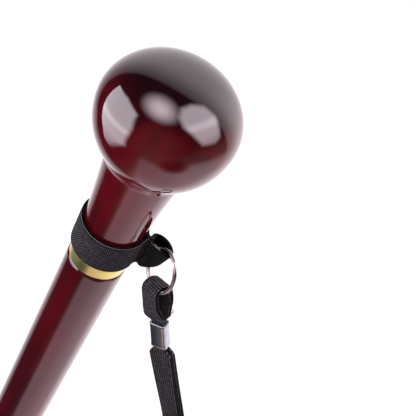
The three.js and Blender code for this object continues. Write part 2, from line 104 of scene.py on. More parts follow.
class Field:
    """A number that varies over a surface: a node's output that Python's operators act on."""

    def __init__(self, shader: "Wiring", socket: Any) -> None:
        """Keeps the socket and the shader that its maths nodes go into."""
        self.shader = shader
        self.socket = socket

    def _math(self, operation: str, *values: Any) -> "Field":
        """Adds a Math node for an operation on values, and gives its result."""
        return self.shader.node("ShaderNodeMath", {"operation": operation}, dict(enumerate(values)))

    def __add__(self, other: Any) -> "Field":
        """self + other."""
        return self._math("ADD", self, other)

    __radd__ = __add__

    def __sub__(self, other: Any) -> "Field":
        """self - other."""
        return self._math("SUBTRACT", self, other)

    def __rsub__(self, other: Any) -> "Field":
        """other - self."""
        return self._math("SUBTRACT", other, self)

    def __mul__(self, other: Any) -> "Field":
        """self * other."""
        return self._math("MULTIPLY", self, other)

    __rmul__ = __mul__

    def __truediv__(self, other: Any) -> "Field":
        """self / other."""
        return self._math("DIVIDE", self, other)

    def __rtruediv__(self, other: Any) -> "Field":
        """other / self."""
        return self._math("DIVIDE", other, self)

    def fract(self) -> "Field":
        """The part after the decimal point."""
        return self._math("FRACT", self)

    def floor(self) -> "Field":
        """The whole number below."""
        return self._math("FLOOR", self)

    def size(self) -> "Field":
        """The number without its sign."""
        return self._math("ABSOLUTE", self)

    def modulo(self, step: float) -> "Field":
        """The remainder after division by a step."""
        return self._math("MODULO", self, step)

    def peak(self) -> "Field":
        """Turns 0..1 into a ridge that is 1 in the middle and 0 at both ends."""
        return 1 - (self * 2 - 1).size()

    def over(self, low: float, high: float) -> "Field":
        """Maps low..high to 0..1 smoothly, and holds it there."""
        settings = {"interpolation_type": "SMOOTHSTEP"}
        return self.shader.node("ShaderNodeMapRange", settings, {"Value": self, 1: low, 2: high})

    def to(self, low: float, high: float) -> "Field":
        """Maps 0..1 to low..high evenly."""
        return self * (high - low) + low


class Wiring:
    """The nodes of a material or of the room, under construction.

    A Mix node's sockets for colours share their names with its others, so they go by number.
    """

    MIX_SHARE = 0
    MIX_COLOURS = (6, 7)
    MIX_RESULT = 2

    def __init__(self, tree: Any, surface: Any) -> None:
        """Keeps the node tree and the node that it ends in."""
        self.tree = tree
        self.surface = surface

    def node(self, kind: str, settings: dict[str, Any], sockets: dict[Any, Any], output: Any = 0) -> Field:
        """Adds a node.

        Args:
            kind: the node's type.
            settings: its properties, set first; "stops" fills a colour ramp.
            sockets: values or links, by the name or number of the input.
            output: the name or number of the output that is wanted.

        Returns:
            That output.
        """
        made = self.tree.nodes.new(kind)
        for key, value in settings.items():
            if key == "stops":
                self._fill_ramp(made.color_ramp, value)
            else:
                setattr(made, key, value)
        for key, value in sockets.items():
            self._feed(made.inputs[key], value)
        return Field(self, made.outputs[output])

    def _fill_ramp(self, ramp: Any, stops: Sequence[tuple[float, Colour]]) -> None:
        """Gives a colour ramp its stops.

        Args:
            ramp: the ramp, which has two stops of its own.
            stops: the place and the colour of each.
        """
        while len(ramp.elements) < len(stops):
            ramp.elements.new(0.5)
        for element, (place, colour) in zip(ramp.elements, stops):
            element.position = place
            element.color = (*colour, 1)

    def _feed(self, socket: Any, value: Any) -> None:
        """Links a field to a socket, or sets its value.

        Args:
            socket: the input.
            value: the field, or a value that is the same everywhere.
        """
        if isinstance(value, Field):
            self.tree.links.new(value.socket, socket)
        else:
            socket.default_value = value

    def set(self, **values: Any) -> None:
        """Sets or links the surface's sockets, named with underscores for spaces."""
        for key, value in values.items():
            self._feed(self.surface.inputs[key.replace("_", " ")], value)

    def mix(self, share: Any, first: Any, second: Any) -> Field:
        """Mixes two colours.

        Args:
            share: how much there is of the second, from 0 to 1.
            first: the colour at 0.
            second: the colour at 1.

        Returns:
            The mixed colour.
        """
        colours = [c if isinstance(c, Field) else (*c, 1) for c in (first, second)]
        sockets = {self.MIX_SHARE: share, **dict(zip(self.MIX_COLOURS, colours))}
        return self.node("ShaderNodeMix", {"data_type": "RGBA"}, sockets, self.MIX_RESULT)

    def vector_maths(self, operation: str, *vectors: Any, output: Any = 0) -> Field:
        """Adds a Vector Math node for an operation on vectors, and gives the output that is wanted."""
        return self.node("ShaderNodeVectorMath", {"operation": operation}, dict(enumerate(vectors)), output)

    def parts(self, vector: Field) -> tuple[Field, Field, Field]:
        """The three numbers of a vector."""
        split = self.node("ShaderNodeSeparateXYZ", {}, {0: vector}, "X").socket.node
        return tuple(Field(self, split.outputs[axis]) for axis in "XYZ")


class Shader(Wiring):
    """One material under construction."""

    def __init__(self, name: str) -> None:
        """Starts a material whose Principled shader is ready to be fed.

        Args:
            name: of the material.
        """
        self.material = bpy.data.materials.new(name)
        self.material.use_nodes = True
        tree = self.material.node_tree
        super().__init__(tree, tree.nodes["Principled BSDF"])

    def places(self, scale: Sequence[float] = (1, 1, 1)) -> Field:
        """Object coordinates in metres, scaled along each axis."""
        where = self.node("ShaderNodeTexCoord", {}, {}, "Object")
        return self.node("ShaderNodeMapping", {}, {"Vector": where, "Scale": scale})

    def weave_places(self) -> tuple[Field, Field]:
        """The metres along and across a tape, from its UV map."""
        return self.parts(self.node("ShaderNodeUVMap", {"uv_map": "tape"}, {}))[:2]

    def noise(self, where: Field, scale: float, detail: float) -> Field:
        """A soft random field, from 0 to 1."""
        sockets = {"Vector": where, "Scale": scale, "Detail": detail}
        return self.node("ShaderNodeTexNoise", {}, sockets, "Fac")

    def ramp(self, value: Field, *stops: tuple[float, Colour]) -> Field:
        """Turns a number into a colour through stops."""
        return self.node("ShaderNodeValToRGB", {"stops": stops}, {0: value}, "Color")

    def bump(self, height: Field, depth: float, strength: float) -> None:
        """Raises the surface by a height from 0 to 1, times a depth in metres."""
        sockets = {"Strength": strength, "Distance": depth, "Height": height}
        self.set(Normal=self.node("ShaderNodeBump", {}, sockets, "Normal"))


# Finishes. A stretch is a noise's scale along the stick, next to that across it.


@dataclass(frozen=True)
class LacqueredWood:
    """Mahogany red stain on fine-grained hardwood, under a thick clear gloss lacquer.

    The knob darkens upwards, and its crown is nearly black.
    """

    name: str = "lacquered_mahogany"
    deep: Colour = (0.007, 0.0002, 0.0008)
    body: Colour = (0.06, 0.0004, 0.0022)
    warm: Colour = (0.118, 0.0024, 0.004)
    stain_stops: tuple[float, float, float] = (0.32, 0.5, 0.7)
    knob_foot: float = 0.872
    crown_foot: float = 0.907
    crown_top: float = 0.9165
    knob_darkening: float = 0.2
    crown_darkening: float = 0.79
    patch_scale: float = 34
    patch_stretch: float = 0.4
    patch_share: float = 0.7
    grain_scale: float = 260
    grain_stretch: float = 0.03
    pore_scale: float = 520
    pore_stretch: float = 0.05
    pore_edge: Span = (0.5, 0.8)
    pore_darkening: float = 0.3
    wood_roughness: Span = (0.5, 0.6)
    lacquer_roughness: float = 0.05
    lacquer_index: float = 1.8
    swell_scale: float = 60
    swell_stretch: float = 0.3
    swell_depth: float = 0.05 * MM
    swell_strength: float = 0.3

    def make(self) -> Any:
        """Builds the material.

        Returns:
            The material.
        """
        shader = Shader(self.name)
        patches = shader.noise(shader.places((1, 1, self.patch_stretch)), self.patch_scale, detail=3)
        fibres = shader.noise(shader.places((1, 1, self.grain_stretch)), self.grain_scale, detail=5)
        pores = shader.noise(shader.places((1, 1, self.pore_stretch)), self.pore_scale, detail=2)
        stops = zip(self.stain_stops, (self.deep, self.body, self.warm))
        stained = shader.ramp(patches * self.patch_share + fibres * (1 - self.patch_share), *stops)
        height = shader.parts(shader.places())[2]
        knob = height.over(self.knob_foot, self.crown_foot) * self.knob_darkening
        crown = height.over(self.crown_foot, self.crown_top) * self.crown_darkening
        dark_pores = pores.over(*self.pore_edge) * self.pore_darkening
        shader.set(
            Base_Color=shader.mix(knob + crown, shader.mix(dark_pores, stained, self.deep), self.deep),
            Roughness=fibres.to(*self.wood_roughness),
            Coat_Weight=1.0,
            Coat_Roughness=self.lacquer_roughness,
            Coat_IOR=self.lacquer_index,
            Specular_IOR_Level=0.0,
        )
        swell = shader.noise(shader.places((1, 1, self.swell_stretch)), self.swell_scale, detail=1)
        shader.bump(swell, self.swell_depth, self.swell_strength)
        return shader.material


@dataclass(frozen=True)
class PolishedMetal:
    """A polished metal with faint turning or rolling lines."""

    name: str
    bright: Colour
    shaded: Colour
    roughness: float
    line_scale: float
    line_axes: tuple[float, float, float] = (0.1, 0.1, 1)
    line_depth: float = 0.0015 * MM
    line_strength: float = 0.3
    tarnish_scale: float = 320
    tarnish_edge: Span = (0.45, 0.85)
    tarnish_share: float = 0.6
    dull_edge: Span = (0.4, 0.9)
    dulling: float = 0.12

    def make(self) -> Any:
        """Builds the material.

        Returns:
            The material.
        """
        shader = Shader(self.name)
        lines = shader.noise(shader.places(self.line_axes), self.line_scale, detail=3)
        tarnish = shader.noise(shader.places(), self.tarnish_scale, detail=3)
        tarnished = tarnish.over(*self.tarnish_edge) * self.tarnish_share
        shader.set(
            Base_Color=shader.mix(tarnished, self.bright, self.shaded),
            Metallic=1.0,
            Roughness=tarnish.over(*self.dull_edge) * self.dulling + self.roughness,
        )
        shader.bump(lines, self.line_depth, self.line_strength)
        return shader.material


@dataclass(frozen=True)
class WovenElastic:
    """Black elastic webbing: short raised stitches in staggered rows, between two plain selvedges,
    with painted highlights on the stitches and along both rims.

    Shares of the selvedge and of the groove are measured from the strip's rim inwards. On the tab,
    painted shade dims the stitch highlights, rising between two distances from the stick's axis.
    """

    name: str = "woven_elastic"
    # dark is the elastic's own black; light is a painted highlight on the raised stitches.
    dark: Colour = (0.003, 0.0028, 0.0034)
    light: Colour = (0.135, 0.128, 0.142)
    # selvedge is a painted highlight along both rims, over the plain selvedge rib.
    selvedge: Colour = (0.19, 0.19, 0.2)
    width: float = 14.7 * MM
    row: float = 0.66 * MM
    stitch: float = 0.86 * MM
    bead_edge: Span = (0.1, 0.6)
    selvedge_width: float = 0.36 * MM
    selvedge_inner_shares: Span = (1, 0.7)
    selvedge_outer_shares: Span = (0.3, 0.1)
    groove_width: float = 0.95 * MM
    groove_shares: Span = (1.1, 1)
    # Painted shade on the tab: where it rises, by distance from the stick's axis, and how much it dims.
    tab_shade_rise: Span = (14.5 * MM, 17.5 * MM)
    tab_painted_shade: float = 0.65
    uneven_scale: float = 900
    uneven_edge: Span = (0.3, 0.7)
    uneven_light: Span = (0.5, 1.1)
    fuzz_scale: float = 5200
    stitch_light: Span = (0.5, 1.2)
    selvedge_light: Span = (0.5, 1)
    bead_height: float = 0.8
    fuzz_height: float = 0.25
    relief: float = 0.24 * MM
    relief_strength: float = 0.9

    def near_rim(self, side: Field, width: float, shares: Span) -> Field:
        """Rises from 0 to 1 between two shares of a width inside the rim."""
        return side.over(*(self.width / 2 - width * share for share in shares))

    def make(self) -> Any:
        """Builds the material.

        Returns:
            The material.
        """
        shader = Shader(self.name)
        along, across = shader.weave_places()
        rows = across / self.row
        half_stitch = rows.floor().modulo(2).size() * 0.5
        bead = (along / self.stitch + half_stitch).fract().peak() * rows.fract().peak()
        side = across.size()
        edge = self.near_rim(side, self.selvedge_width, self.selvedge_inner_shares)
        edge = edge * (1 - self.near_rim(side, self.selvedge_width, self.selvedge_outer_shares))
        woven = 1 - self.near_rim(side, self.groove_width, self.groove_shares)
        raised = bead.over(*self.bead_edge) * woven
        fuzz = shader.noise(shader.places(), self.fuzz_scale, detail=2)
        uneven = shader.noise(shader.places(), self.uneven_scale, detail=2).over(*self.uneven_edge)
        # Painted shade: the stitch highlights dim out along the tab, which lies in shadow.
        unshaded = 1 - shader.parts(shader.places())[0].over(*self.tab_shade_rise) * self.tab_painted_shade
        share = raised * fuzz.to(*self.stitch_light) * uneven.to(*self.uneven_light) * unshaded
        # Painted highlight: the raised stitches lighten from dark towards light.
        lit = shader.mix(share, self.dark, self.light)
        # Painted highlight along both rims, over the selvedge rib.
        shader.set(
            Base_Color=shader.mix(edge * fuzz.to(*self.selvedge_light), lit, self.selvedge),
            Roughness=0.9,
            Specular_IOR_Level=0.06,
        )
        height = raised * self.bead_height + edge + fuzz * self.fuzz_height
        shader.bump(height, self.relief, self.relief_strength)
        return shader.material


@dataclass(frozen=True)
class KnittedBraid:
    """Black braid: a column of knitted V stitches on each lengthwise rib, with painted highlights on
    the crest stitches and painted shade in the furrows.
    """

    name: str = "knitted_braid"
    # body is the braid's own black; light is a painted highlight on the crest stitches, dark is painted
    # shade in the furrows.
    dark: Colour = (0.0012, 0.001, 0.0015)
    body: Colour = (0.009, 0.0074, 0.0094)
    light: Colour = (0.17, 0.156, 0.172)
    width: float = 10 * MM
    ribs: int = 10
    stitch: float = 0.8 * MM
    slant: float = 0.8
    strand_edge: Span = (0.12, 0.75)
    crest_edge: Span = (0.05, 0.6)
    # How far the furrows darken: painted shade.
    furrow_shade: float = 0.85
    uneven_scale: float = 700
    uneven_edge: Span = (0.3, 0.7)
    uneven_light: Span = (0.45, 1.15)
    fuzz_scale: float = 4600
    fuzz_light: Span = (0.3, 1.2)
    strand_height: float = 0.6
    crest_height: float = 0.5
    fuzz_height: float = 0.22
    relief: float = 0.2 * MM
    relief_strength: float = 0.9

    def make(self) -> Any:
        """Builds the material.

        Returns:
            The material.
        """
        shader = Shader(self.name)
        along, across = shader.weave_places()
        rib = (across / (self.width / self.ribs) + 0.5 * (self.ribs % 2)).fract()
        from_crest = (rib - 0.5).size()
        strand = (along / self.stitch + from_crest * self.slant).fract().peak().over(*self.strand_edge)
        crest = (1 - from_crest * 2).over(*self.crest_edge)
        fuzz = shader.noise(shader.places(), self.fuzz_scale, detail=2)
        uneven = shader.noise(shader.places(), self.uneven_scale, detail=2).over(*self.uneven_edge)
        # Painted highlight: the V stitches on each crest lighten from body towards light.
        share = strand * crest * fuzz.to(*self.fuzz_light) * uneven.to(*self.uneven_light)
        lit = shader.mix(share, self.body, self.light)
        # Painted shade: the furrows between the ribs darken towards dark.
        shader.set(
            Base_Color=shader.mix((1 - crest) * self.furrow_shade, lit, self.dark),
            Roughness=0.88,
            Specular_IOR_Level=0.08,
        )
        height = strand * self.strand_height * crest + crest * self.crest_height + fuzz * self.fuzz_height
        shader.bump(height, self.relief, self.relief_strength)
        return shader.material


@dataclass(frozen=True)
class MouldedRubber:
    """Black moulded rubber with a fine matt skin, greyer where it wears."""

    name: str = "moulded_rubber"
    dark: Colour = (0.006, 0.006, 0.0065)
    worn: Colour = (0.022, 0.022, 0.023)
    wear_scale: float = 130
    wear_edge: Span = (0.42, 0.72)
    skin_scale: float = 2600
    skin_roughness: Span = (0.4, 0.58)
    skin_depth: float = 0.03 * MM
    skin_strength: float = 0.5

    def make(self) -> Any:
        """Builds the material.

        Returns:
            The material.
        """
        shader = Shader(self.name)
        skin = shader.noise(shader.places(), self.skin_scale, detail=3)
        wear = shader.noise(shader.places(), self.wear_scale, detail=4).over(*self.wear_edge)
        shader.set(
            Base_Color=shader.mix(wear, self.dark, self.worn),
            Roughness=skin.to(*self.skin_roughness),
            Specular_IOR_Level=0.45,
        )
        shader.bump(skin, self.skin_depth, self.skin_strength)
        return shader.material


@dataclass(frozen=True)
class SewingThread:
    """Black twisted thread or loose fibres."""

    name: str = "sewing_thread"
    dark: Colour = (0.004, 0.004, 0.005)
    light: Colour = (0.03, 0.028, 0.033)
    ply_scale: float = 3800
    ply_stretch: float = 0.4
    ply_edge: Span = (0.4, 0.7)
    ply_depth: float = 0.06 * MM
    ply_strength: float = 0.6

    def make(self) -> Any:
        """Builds the material.

        Returns:
            The material.
        """
        shader = Shader(self.name)
        ply = shader.noise(shader.places((1, 1, self.ply_stretch)), self.ply_scale, detail=2)
        shader.set(Base_Color=shader.mix(ply.over(*self.ply_edge), self.dark, self.light), Roughness=0.7)
        shader.bump(ply, self.ply_depth, self.ply_strength)
        return shader.material


class Finishes:
    """Every material of the stick, made once."""

    def __init__(self) -> None:
        """Builds the materials."""
        brass = PolishedMetal(
            "polished_brass", (0.86, 0.79, 0.27), (0.64, 0.56, 0.16), roughness=0.3, line_scale=300
        )
        steel = PolishedMetal(
            "plain_steel", (0.5, 0.5, 0.52), (0.25, 0.24, 0.23), roughness=0.32, line_scale=700
        )
        nickel = PolishedMetal(
            "nickel_plate", (0.45, 0.41, 0.41), (0.26, 0.22, 0.22), roughness=0.1, line_scale=600
        )
        clamp = PolishedMetal(
            "bright_nickel_plate", (0.42, 0.45, 0.5), (0.3, 0.32, 0.36), roughness=0.12, line_scale=600
        )
        self.wood = LacqueredWood().make()
        self.brass = brass.make()
        self.steel = steel.make()
        self.nickel = nickel.make()
        self.clamp = clamp.make()
        self.elastic = WovenElastic().make()
        self.braid = KnittedBraid().make()
        self.rubber = MouldedRubber().make()
        self.thread = SewingThread().make()


# Making meshes


Outline = list[tuple[float, float]]


def smooth(share: float) -> float:
    """Eases a share from 0 to 1."""
    return share * share * (3 - 2 * share)


def between(value: float, low: float, high: float) -> float:
    """The share of the way from low to high, held within 0 and 1."""
    return min(max((value - low) / (high - low), 0.0), 1.0)


def lerp(first: float, second: float, share: float) -> float:
    """The value at a share of the way from first to second."""
    return first + (second - first) * share


def turned(vector: Vector, axis: Vector, degrees: float) -> Vector:
    """A vector turned about an axis by the right-hand rule."""
    return Quaternion(axis, math.radians(degrees)) @ vector


def half_circle(steps: int) -> list[tuple[float, float]]:
    """The sines and cosines of angles from 0 to half a turn."""
    return [(math.sin(math.pi * i / steps), math.cos(math.pi * i / steps)) for i in range(steps + 1)]


def through_points(points: Sequence[Vector], share: float, closed: bool = False) -> Vector:
    """A point of the smooth curve through points, which doesn't overshoot where they stand close.

    Args:
        points: what the curve passes through.
        share: how far along it, each span counting alike.
        closed: whether the last point leads back to the first.

    Returns:
        The point.
    """
    count = len(points)
    spans = count if closed else count - 1
    place = min(max(share, 0.0), 1.0) * spans
    span = min(int(place), spans - 1)
    weight = place - span

    def at(index: int) -> Vector:
        """The point at an index, which goes straight on past an open curve's ends.

        Args:
            index: from -1 to one past the last.

        Returns:
            The point.
        """
        if closed:
            return points[index % count]
        if index < 0:
            return points[0] * 2 - points[1]
        return points[index] if index < count else points[-1] * 2 - points[-2]

    a, b, c, d = (at(span + i) for i in (-1, 0, 1, 2))
    da, db, dc = (max((q - p).length ** 0.5, 1e-6) for p, q in ((a, b), (b, c), (c, d)))
    into = ((b - a) / da - (c - a) / (da + db) + (c - b) / db) * db
    out = ((c - b) / db - (d - b) / (db + dc) + (d - c) / dc) * db
    return (
        b * (2 * weight**3 - 3 * weight**2 + 1)
        + into * (weight**3 - 2 * weight**2 + weight)
        + c * (3 * weight**2 - 2 * weight**3)
        + out * (weight**3 - weight**2)
    )


@dataclass
class Station:
    """One place along a sweep: its point, the direction across it, and its section."""

    place: Vector
    across: Vector
    outline: Outline
    along: float = 0.0


def round_outline(radius: float, sides: int = 14) -> Outline:
    """A round section."""
    return [(radius * math.cos(TURN * i / sides), radius * math.sin(TURN * i / sides)) for i in range(sides)]


@dataclass(frozen=True)
class Weave:
    """How a tape's section is shaped, whatever its width and thickness.

    The points on a face stand closer together towards its edges, less so with more evenness.
    """

    ribs: int
    squareness: float
    points: int
    evenness: float = 0.22
    least: float = 0.02

    def outline(self, width: float, thickness: float, depth: float) -> Outline:
        """A flat section with rounded edges and lengthwise ribs on both faces.

        Args:
            width: across the tape.
            thickness: between its faces, over the ribs.
            depth: of the grooves between them.

        Returns:
            Points round the section, with the width first.
        """
        steps = [math.cos(math.pi * (i + 0.5) / self.points) for i in range(self.points)]
        shares = [s * (1 - self.evenness * (1 - s * s)) for s in steps]
        front = []
        for share in shares:
            edge = max(0.0, 1 - abs(share) ** self.squareness) ** (1 / self.squareness)
            groove = 0.5 - 0.5 * math.cos(math.pi * (share + 1) * self.ribs)
            half = (thickness / 2 - depth * (1 - groove)) * edge
            front.append((share * width / 2, max(half, thickness * self.least)))
        return front + [(u, -v) for u, v in reversed(front)]


def sweep(name: str, stations: Sequence[Station], closed: bool = False) -> Any:
    """Extrudes a section through stations, with metres along and across kept in a UV map.

    Args:
        name: of the object.
        stations: where the section goes.
        closed: whether the last station leads back to the first.

    Returns:
        The object.
    """
    count = len(stations)
    for i in range(1, count):
        stations[i].along = stations[i - 1].along + (stations[i].place - stations[i - 1].place).length
    whole = stations[-1].along + (stations[0].place - stations[-1].place).length
    shape = bmesh.new()
    tape_map = shape.loops.layers.uv.new("tape")
    sides = len(stations[0].outline)
    ring = bmesh.ops.create_circle(shape, segments=sides, radius=1)["verts"]
    marks: dict[Any, tuple[float, float]] = {}
    ends = [ring_edges(shape, ring)]
    for i, station in enumerate(stations):
        if i:
            grown = bmesh.ops.extrude_edge_only(shape, edges=ring_edges(shape, ring))["geom"]
            fresh = {v for v in grown if isinstance(v, bmesh.types.BMVert)}
            ring = [next(e.other_vert(v) for e in v.link_edges if e.other_vert(v) in fresh) for v in ring]
        before = stations[i - 1 if closed else max(i - 1, 0)].place
        after = stations[(i + 1) % count if closed else min(i + 1, count - 1)].place
        ahead = (after - before).normalized()
        side = (station.across - ahead * station.across.dot(ahead)).normalized()
        face = ahead.cross(side)
        for vert, (u, v) in zip(ring, station.outline):
            vert.co = station.place + side * u + face * v
            marks[vert] = (station.along, u)
    ends.append(ring_edges(shape, ring))
    if closed:
        bmesh.ops.bridge_loops(shape, edges=ends[0] + ends[1])
    else:
        for end in ends:
            bmesh.ops.edgeloop_fill(shape, edges=end)
    for patch in shape.faces:
        marked = [marks[loop.vert] for loop in patch.loops]
        wraps = closed and max(m[0] for m in marked) - min(m[0] for m in marked) > whole / 2
        for loop, (along, across) in zip(patch.loops, marked):
            loop[tape_map].uv = (along + whole if wraps and along < whole / 2 else along, across)
        patch.smooth = True
    bmesh.ops.recalc_face_normals(shape, faces=shape.faces)
    return finished(name, shape)


def ring_edges(shape: Any, ring: Sequence[Any]) -> list[Any]:
    """The edges of a ring of vertices."""
    return [shape.edges.get((vert, ring[(i + 1) % len(ring)])) for i, vert in enumerate(ring)]


def lathe(name: str, outline: Outline, sides: int = 128, weld: float = 0.002 * MM) -> Any:
    """Spins an outline of radius and height about the stick's axis.

    Args:
        name: of the object.
        outline: points that start and end on the axis, or close on themselves.
        sides: steps round the axis.
        weld: how near points are merged.

    Returns:
        The object.
    """
    shape = bmesh.new()
    chain = [shape.verts.new((radius, 0, height)) for radius, height in outline]
    edges = [shape.edges.new(pair) for pair in zip(chain, chain[1:])]
    spun = {"cent": (0, 0, 0), "axis": (0, 0, 1), "angle": TURN, "steps": sides, "use_merge": True}
    bmesh.ops.spin(shape, geom=chain + edges, **spun)
    bmesh.ops.remove_doubles(shape, verts=shape.verts, dist=weld)
    bmesh.ops.recalc_face_normals(shape, faces=shape.faces)
    for patch in shape.faces:
        patch.smooth = True
    return finished(name, shape)


def rounded_outline(corners: Sequence[tuple[float, float, float]], steps: int = 4) -> Outline:
    """Rounds an outline's corners, each by less than half of the sides that meet there.

    Args:
        corners: the radius, height and rounding of each, from end to end.
        steps: facets at each rounding.

    Returns:
        The finer outline.
    """
    most = 0.48
    points = [Vector((r, h)) for r, h, _ in corners]
    fine: Outline = []
    for i, (radius, height, rounding) in enumerate(corners):
        if rounding == 0 or i in (0, len(corners) - 1):
            fine.append((radius, height))
            continue
        back, ahead = points[i - 1] - points[i], points[i + 1] - points[i]
        reach = min(rounding, back.length * most, ahead.length * most)
        start, end = points[i] + back.normalized() * reach, points[i] + ahead.normalized() * reach
        for k in range(steps + 1):
            share = k / steps
            spot = start * (1 - share) ** 2 + points[i] * (2 * share * (1 - share)) + end * share**2
            fine.append((spot.x, spot.y))
    return fine


def finished(name: str, shape: Any) -> Any:
    """Turns a bmesh into an object in the scene.

    Args:
        name: of the object.
        shape: the bmesh, which is freed.

    Returns:
        The object.
    """
    mesh = bpy.data.meshes.new(name)
    shape.to_mesh(mesh)
    shape.free()
    made = bpy.data.objects.new(name, mesh)
    bpy.context.scene.collection.objects.link(made)
    return made


def dress(piece: Any, material: Any, body: Body, slot: Slot, *nodes: str) -> None:
    """Gives a piece its material and its place in the frame.

    Args:
        piece: the object.
        material: its finish.
        body: what it rides on.
        slot: the record's slot that the finish belongs to; not used.
        nodes: the frame's nodes that it stands for.
    """
    piece.data.materials.clear()
    piece.data.materials.append(material)
    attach(piece, body.value)
    if nodes:
        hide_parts(*nodes)
    LOG.info("%s: %d faces on %s", piece.name, len(piece.data.polygons), body.value)


def dress_node(frame: dict[str, Any], node: str, material: Any) -> None:
    """Gives a node of the frame a finer material.

    Args:
        frame: the loaded frame.
        node: the node's name.
        material: its finish.
    """
    for slot in frame["nodes"][node].material_slots:
        slot.material = material
    LOG.info("%s: kept from the frame", node)


# The stick


@dataclass
class Stick:
    """The knob with its neck, the collar and the shaft, all on one axis."""

    length: float = 920 * MM
    knob_radius: float = 25.44 * MM
    knob_centre: float = 78.03 * MM
    crown: float = 20.36 * MM
    under: float = 24.93 * MM
    neck_radius: float = 11.16 * MM
    neck_gain: float = 7.34 * MM
    neck_flare_power: float = 1.825
    neck_blend: float = 6.72
    neck_edge: float = 0.35 * MM
    neck_edge_share: float = 0.3
    trim_power: float = 4
    collar_height: float = 10 * MM
    collar_radius: float = 11.57 * MM
    collar_wall: float = 1 * MM
    collar_edge: float = 0.3 * MM
    collar_lead_in: Span = (0.1 * MM, 0.2 * MM)
    shaft_top_radius: float = 11.82 * MM
    shaft_foot_radius: float = 8.25 * MM
    shaft_foot: float = 8.1 * MM
    foot_chamfer: float = 0.6 * MM
    shoulder: float = 1.6 * MM
    gap: float = 0.3 * MM
    rows: int = 90
    shaft_rows: int = 60
    shaft_sides: int = 96
    shoulder_steps: int = 8

    @property
    def collar_base(self) -> float:
        """The height of the collar's lower edge above the floor."""
        return self.length - self.knob_centre - self.crown

    @property
    def spigot_radius(self) -> float:
        """The radius of what goes into the collar from both ends."""
        return self.collar_radius - self.collar_wall - self.gap

    def ball_radius_at(self, off: float, reach: float) -> float:
        """The knob's radius off its widest line, on the half that reaches so far along the axis."""
        return self.knob_radius * math.sqrt(max(0.0, 1 - (off / reach) ** 2))

    def blend(self, first: float, second: float) -> float:
        """Two radii with a rounded corner between them."""
        return (first**self.neck_blend + second**self.neck_blend) ** (1 / self.neck_blend)

    def radius_at(self, height: float) -> float:
        """The neck's or knob's radius.

        The blend widens the knob slightly, so the radius is trimmed back upwards to the knob's own.

        Args:
            height: above the collar's lower edge.

        Returns:
            The radius there.
        """
        off = height - self.knob_centre
        if off >= 0:
            return self.ball_radius_at(off, self.crown)
        share = height / self.knob_centre
        neck = self.neck_radius + self.neck_gain * share**self.neck_flare_power
        excess = self.blend(self.knob_radius, self.neck_radius + self.neck_gain) / self.knob_radius
        reached = self.blend(self.ball_radius_at(off, self.under), neck)
        return reached / (1 + (excess - 1) * share**self.trim_power)

    def knob_outline(self) -> Outline:
        """The knob's outline.

        Returns:
            Points from the spigot in the collar to the crown.
        """
        foot = self.collar_height + self.gap
        middle = self.collar_height / 2 + self.gap
        outline = [(0.0, middle), (self.spigot_radius, middle), (self.spigot_radius, foot - self.gap / 2)]
        edge = self.neck_edge
        rise = edge * self.neck_edge_share
        first = self.radius_at(foot)
        outline += [(first - edge, foot), (first - rise, foot + rise)]
        neck_top = self.knob_centre - self.under
        heights = [lerp(foot + edge, neck_top, i / self.rows) for i in range(self.rows)]
        quarters = [math.pi / 2 * i / self.rows for i in range(self.rows + 1)]
        heights += [self.knob_centre - self.under * math.cos(angle) for angle in quarters]
        heights += [self.knob_centre + self.crown * math.sin(angle) for angle in quarters[1:-1]]
        outline += [(self.radius_at(height), height) for height in heights]
        outline.append((0.0, self.knob_centre + self.crown))
        return [(radius, height + self.collar_base) for radius, height in outline]

    def shaft_outline(self) -> Outline:
        """The shaft's outline.

        Returns:
            Points from its foot to its tenon in the collar.
        """
        top = self.collar_base - self.gap
        chamfer = self.foot_chamfer
        outline = [(0.0, self.shaft_foot), (self.shaft_foot_radius - chamfer, self.shaft_foot)]
        outline.append((self.shaft_foot_radius, self.shaft_foot + chamfer))
        for i in range(1, self.shaft_rows + 1):
            height = lerp(self.shaft_foot, top - self.shoulder, i / self.shaft_rows)
            outline.append((self.shaft_radius_at(height), height))
        for i in range(1, self.shoulder_steps + 1):
            angle = math.pi / 2 * i / self.shoulder_steps
            radius = self.shaft_radius_at(top - self.shoulder) - self.shoulder / 2 * (1 - math.cos(angle))
            outline.append((radius, top - self.shoulder * (1 - math.sin(angle))))
        tenon = self.collar_base + self.collar_height / 2
        return outline + [(self.spigot_radius, top), (self.spigot_radius, tenon), (0.0, tenon)]

    def shaft_radius_at(self, height: float) -> float:
        """The tapered shaft's radius at a height above the floor."""
        share = (height - self.shaft_foot) / (self.collar_base - self.shaft_foot)
        return lerp(self.shaft_foot_radius, self.shaft_top_radius, share)

    def collar_outline(self) -> Outline:
        """The thin collar's outline, with its edges broken.

        Returns:
            Points round its wall.
        """
        inner, outer, edge = self.collar_radius - self.collar_wall, self.collar_radius, self.collar_edge
        cut, rise = self.collar_lead_in
        corners = [
            (inner, rise, 0),
            (inner + cut, 0, edge / 2),
            (outer, 0, edge),
            (outer, self.collar_height, edge),
            (inner, self.collar_height, edge / 2),
            (inner, rise, 0),
        ]
        return [(radius, height + self.collar_base) for radius, height in rounded_outline(corners)]

    def build(self, frame: dict[str, Any], finishes: Finishes) -> None:
        """Makes the turned pieces and dresses the hidden stud.

        Args:
            frame: the loaded frame.
            finishes: the stick's materials.
        """
        knob = lathe("turned_knob", self.knob_outline())
        dress(knob, finishes.wood, Body.STICK, Slot.WOOD, "knob_handle")
        shaft = lathe("tapered_shaft", self.shaft_outline(), self.shaft_sides)
        dress(shaft, finishes.wood, Body.STICK, Slot.WOOD, "shaft")
        collar = lathe("brass_ring_collar", self.collar_outline())
        dress(collar, finishes.brass, Body.STICK, Slot.BRASS, "brass_collar")
        dress_node(frame, "joining_stud", finishes.steel)


# The band and what hangs on it


